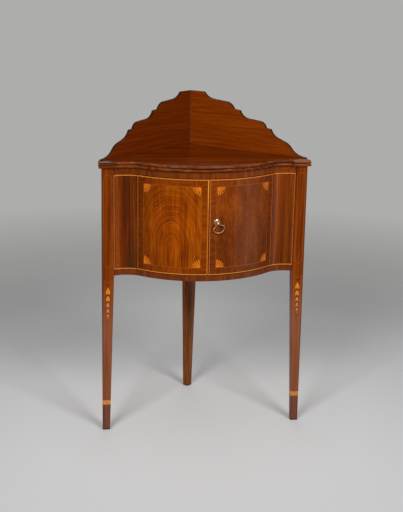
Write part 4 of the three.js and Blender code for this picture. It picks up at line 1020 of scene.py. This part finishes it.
dress(wire("stirrup_ring", path, sizes), "pull_ring", "brass", BRASS_RING, "pull_ring")


# CAD nodes that stay, with their finish
def refinish(node, material, ease=0.0):
    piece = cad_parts[node]
    piece.data.materials.clear()
    piece.data.materials.append(material)
    if ease:
        ease_edges(piece, ease)


for side in ("left", "right"):
    for board in ("side_board_", "floor_cleat_", "glue_block_"):
        refinish(board + side, INNER[side], 0.6)
    refinish("splash_screw_" + side, BRASS_DARK)
    for level in ("top", "bottom"):
        refinish(f"rail_hinge_{side}_{level}", BRASS)
        refinish(f"door_hinge_{side}_{level}", BRASS)
refinish("cabinet_floor", INNER["x"], 0.5)
refinish("door_stop", INNER["x"], 0.8)
for node in ("bolt_plate", "bolt_bar", "bolt_keeper", "latch_bush", "latch_finger"):
    refinish(node, BRASS, 0.25)


# Floor, light and camera
# Painted shade: the paper darker away from the middle, where the lamps' light falls off and the cabinet's
# shadows lie
PAINTED_SHADE_GREYS = ((0.0, 0.645), (0.075, 0.66), (0.125, 0.655), (0.15, 0.635), (0.19, 0.6), (0.25, 0.57),
               (0.35, 0.444), (0.45, 0.385), (0.65, 0.38))  # from the middle to 4 m away


def floor():
    """A round floor of paper, with painted shade further out, that runs into the backdrop's grey further
    away.
    """
    count = 48
    turns = [i * math.pi / 24 for i in range(count)]
    radii = (0.6, 1.2, 2, 4, 8, 16, 30, 60)
    verts = [(0, 0, 0)]
    verts += [(radius * math.cos(turn), radius * math.sin(turn), 0) for radius in radii for turn in turns]
    faces = [(0, 1 + i, 1 + (i + 1) % count) for i in range(count)]
    for start in range(1, len(verts) - count, count):
        for i in range(count):
            a, b = start + i, start + (i + 1) % count
            faces.append((a, a + count, b + count, b))
    mesh = bpy.data.meshes.new("studio_floor")
    mesh.from_pydata(verts, [], faces)
    piece = put_in_scene("studio_floor", mesh)
    shader = Shader(bpy.data.materials.new("floor_paper"))
    place = shader.object_place()
    away = shader.vector("LENGTH", {0: place}, "Value")
    speck = shader.noise(place, 260.0, 2)
    # Painted shade on the paper, greyer further out
    tone = shader.ramp(shader.span(away, 0.0, 4.0), [(share, (grey,) * 3) for share, grey in PAINTED_SHADE_GREYS])
    tone = shader.mix(shader.span(speck, 0.3, 0.7, 0.0, 0.03), tone, (0.3, 0.3, 0.3, 1))
    paper = shader.node("BsdfPrincipled", {"Base Color": tone, "Roughness": 0.9, "Specular IOR Level": 0.1})
    far = shader.times(shader.seen_directly(), shader.span(away, 1.1, 2.8))
    glow = shader.node("Emission", {"Color": (*BACKDROP, 1), "Strength": 1.0})
    surface = shader.node("MixShader", {0: far, 1: paper, 2: glow})
    shader.node("OutputMaterial", {"Surface": surface})
    mesh.materials.append(shader.owner)


def softbox(name, place, target, size, power):
    light = bpy.data.lights.new(name, "AREA")
    light.shape = "RECTANGLE"
    light.size, light.size_y = size
    light.energy = power
    lamp = put_in_scene(name, light)
    lamp.location = place
    lamp.rotation_euler = (Vector(target) - Vector(place)).to_track_quat("-Z", "Y").to_euler()
    lamp.visible_camera = False
    return lamp


floor()
cabinet = (0, 0, 0.5)
softbox("key_left", (-1.87, -2.83, 2.9), cabinet, (1.3, 1.3), 88)
softbox("key_right", (1.46, -3.1, 2.9), cabinet, (1.3, 1.3), 88)
softbox("back_fill", (0.3, 3.0, 2.8), cabinet, (2.0, 1.4), 14)
softbox("card_right", (1.46, -1.02, 0.2), (0.1, -0.15, 0.35), (1.0, 0.42), 2.6).visible_diffuse = False

world = bpy.data.worlds.new("studio")
bpy.context.scene.world = world
sky = Shader(world)
fill = sky.node("Background", {"Color": (1, 1, 1, 1), "Strength": 0.24})
backdrop = sky.node("Background", {"Color": (*BACKDROP, 1)})
both = sky.node("MixShader", {0: sky.seen_directly(), 1: fill, 2: backdrop})
sky.node("OutputWorld", {"Surface": both})

camera = put_in_scene("camera", bpy.data.cameras.new("camera"))
right, up = Vector(CAMERA_RIGHT).normalized(), Vector(CAMERA_UP).normalized()
back = right.cross(up)
turn = Matrix((right, up, back)).transposed().to_4x4()
camera.matrix_world = Matrix.Translation(CAMERA_PLACE) @ turn
camera.data.sensor_width = 36
camera.data.lens = CAMERA_LENS
camera.data.clip_end = 300
bpy.context.scene.camera = camera
bpy.context.scene.view_settings.view_transform = "Standard"
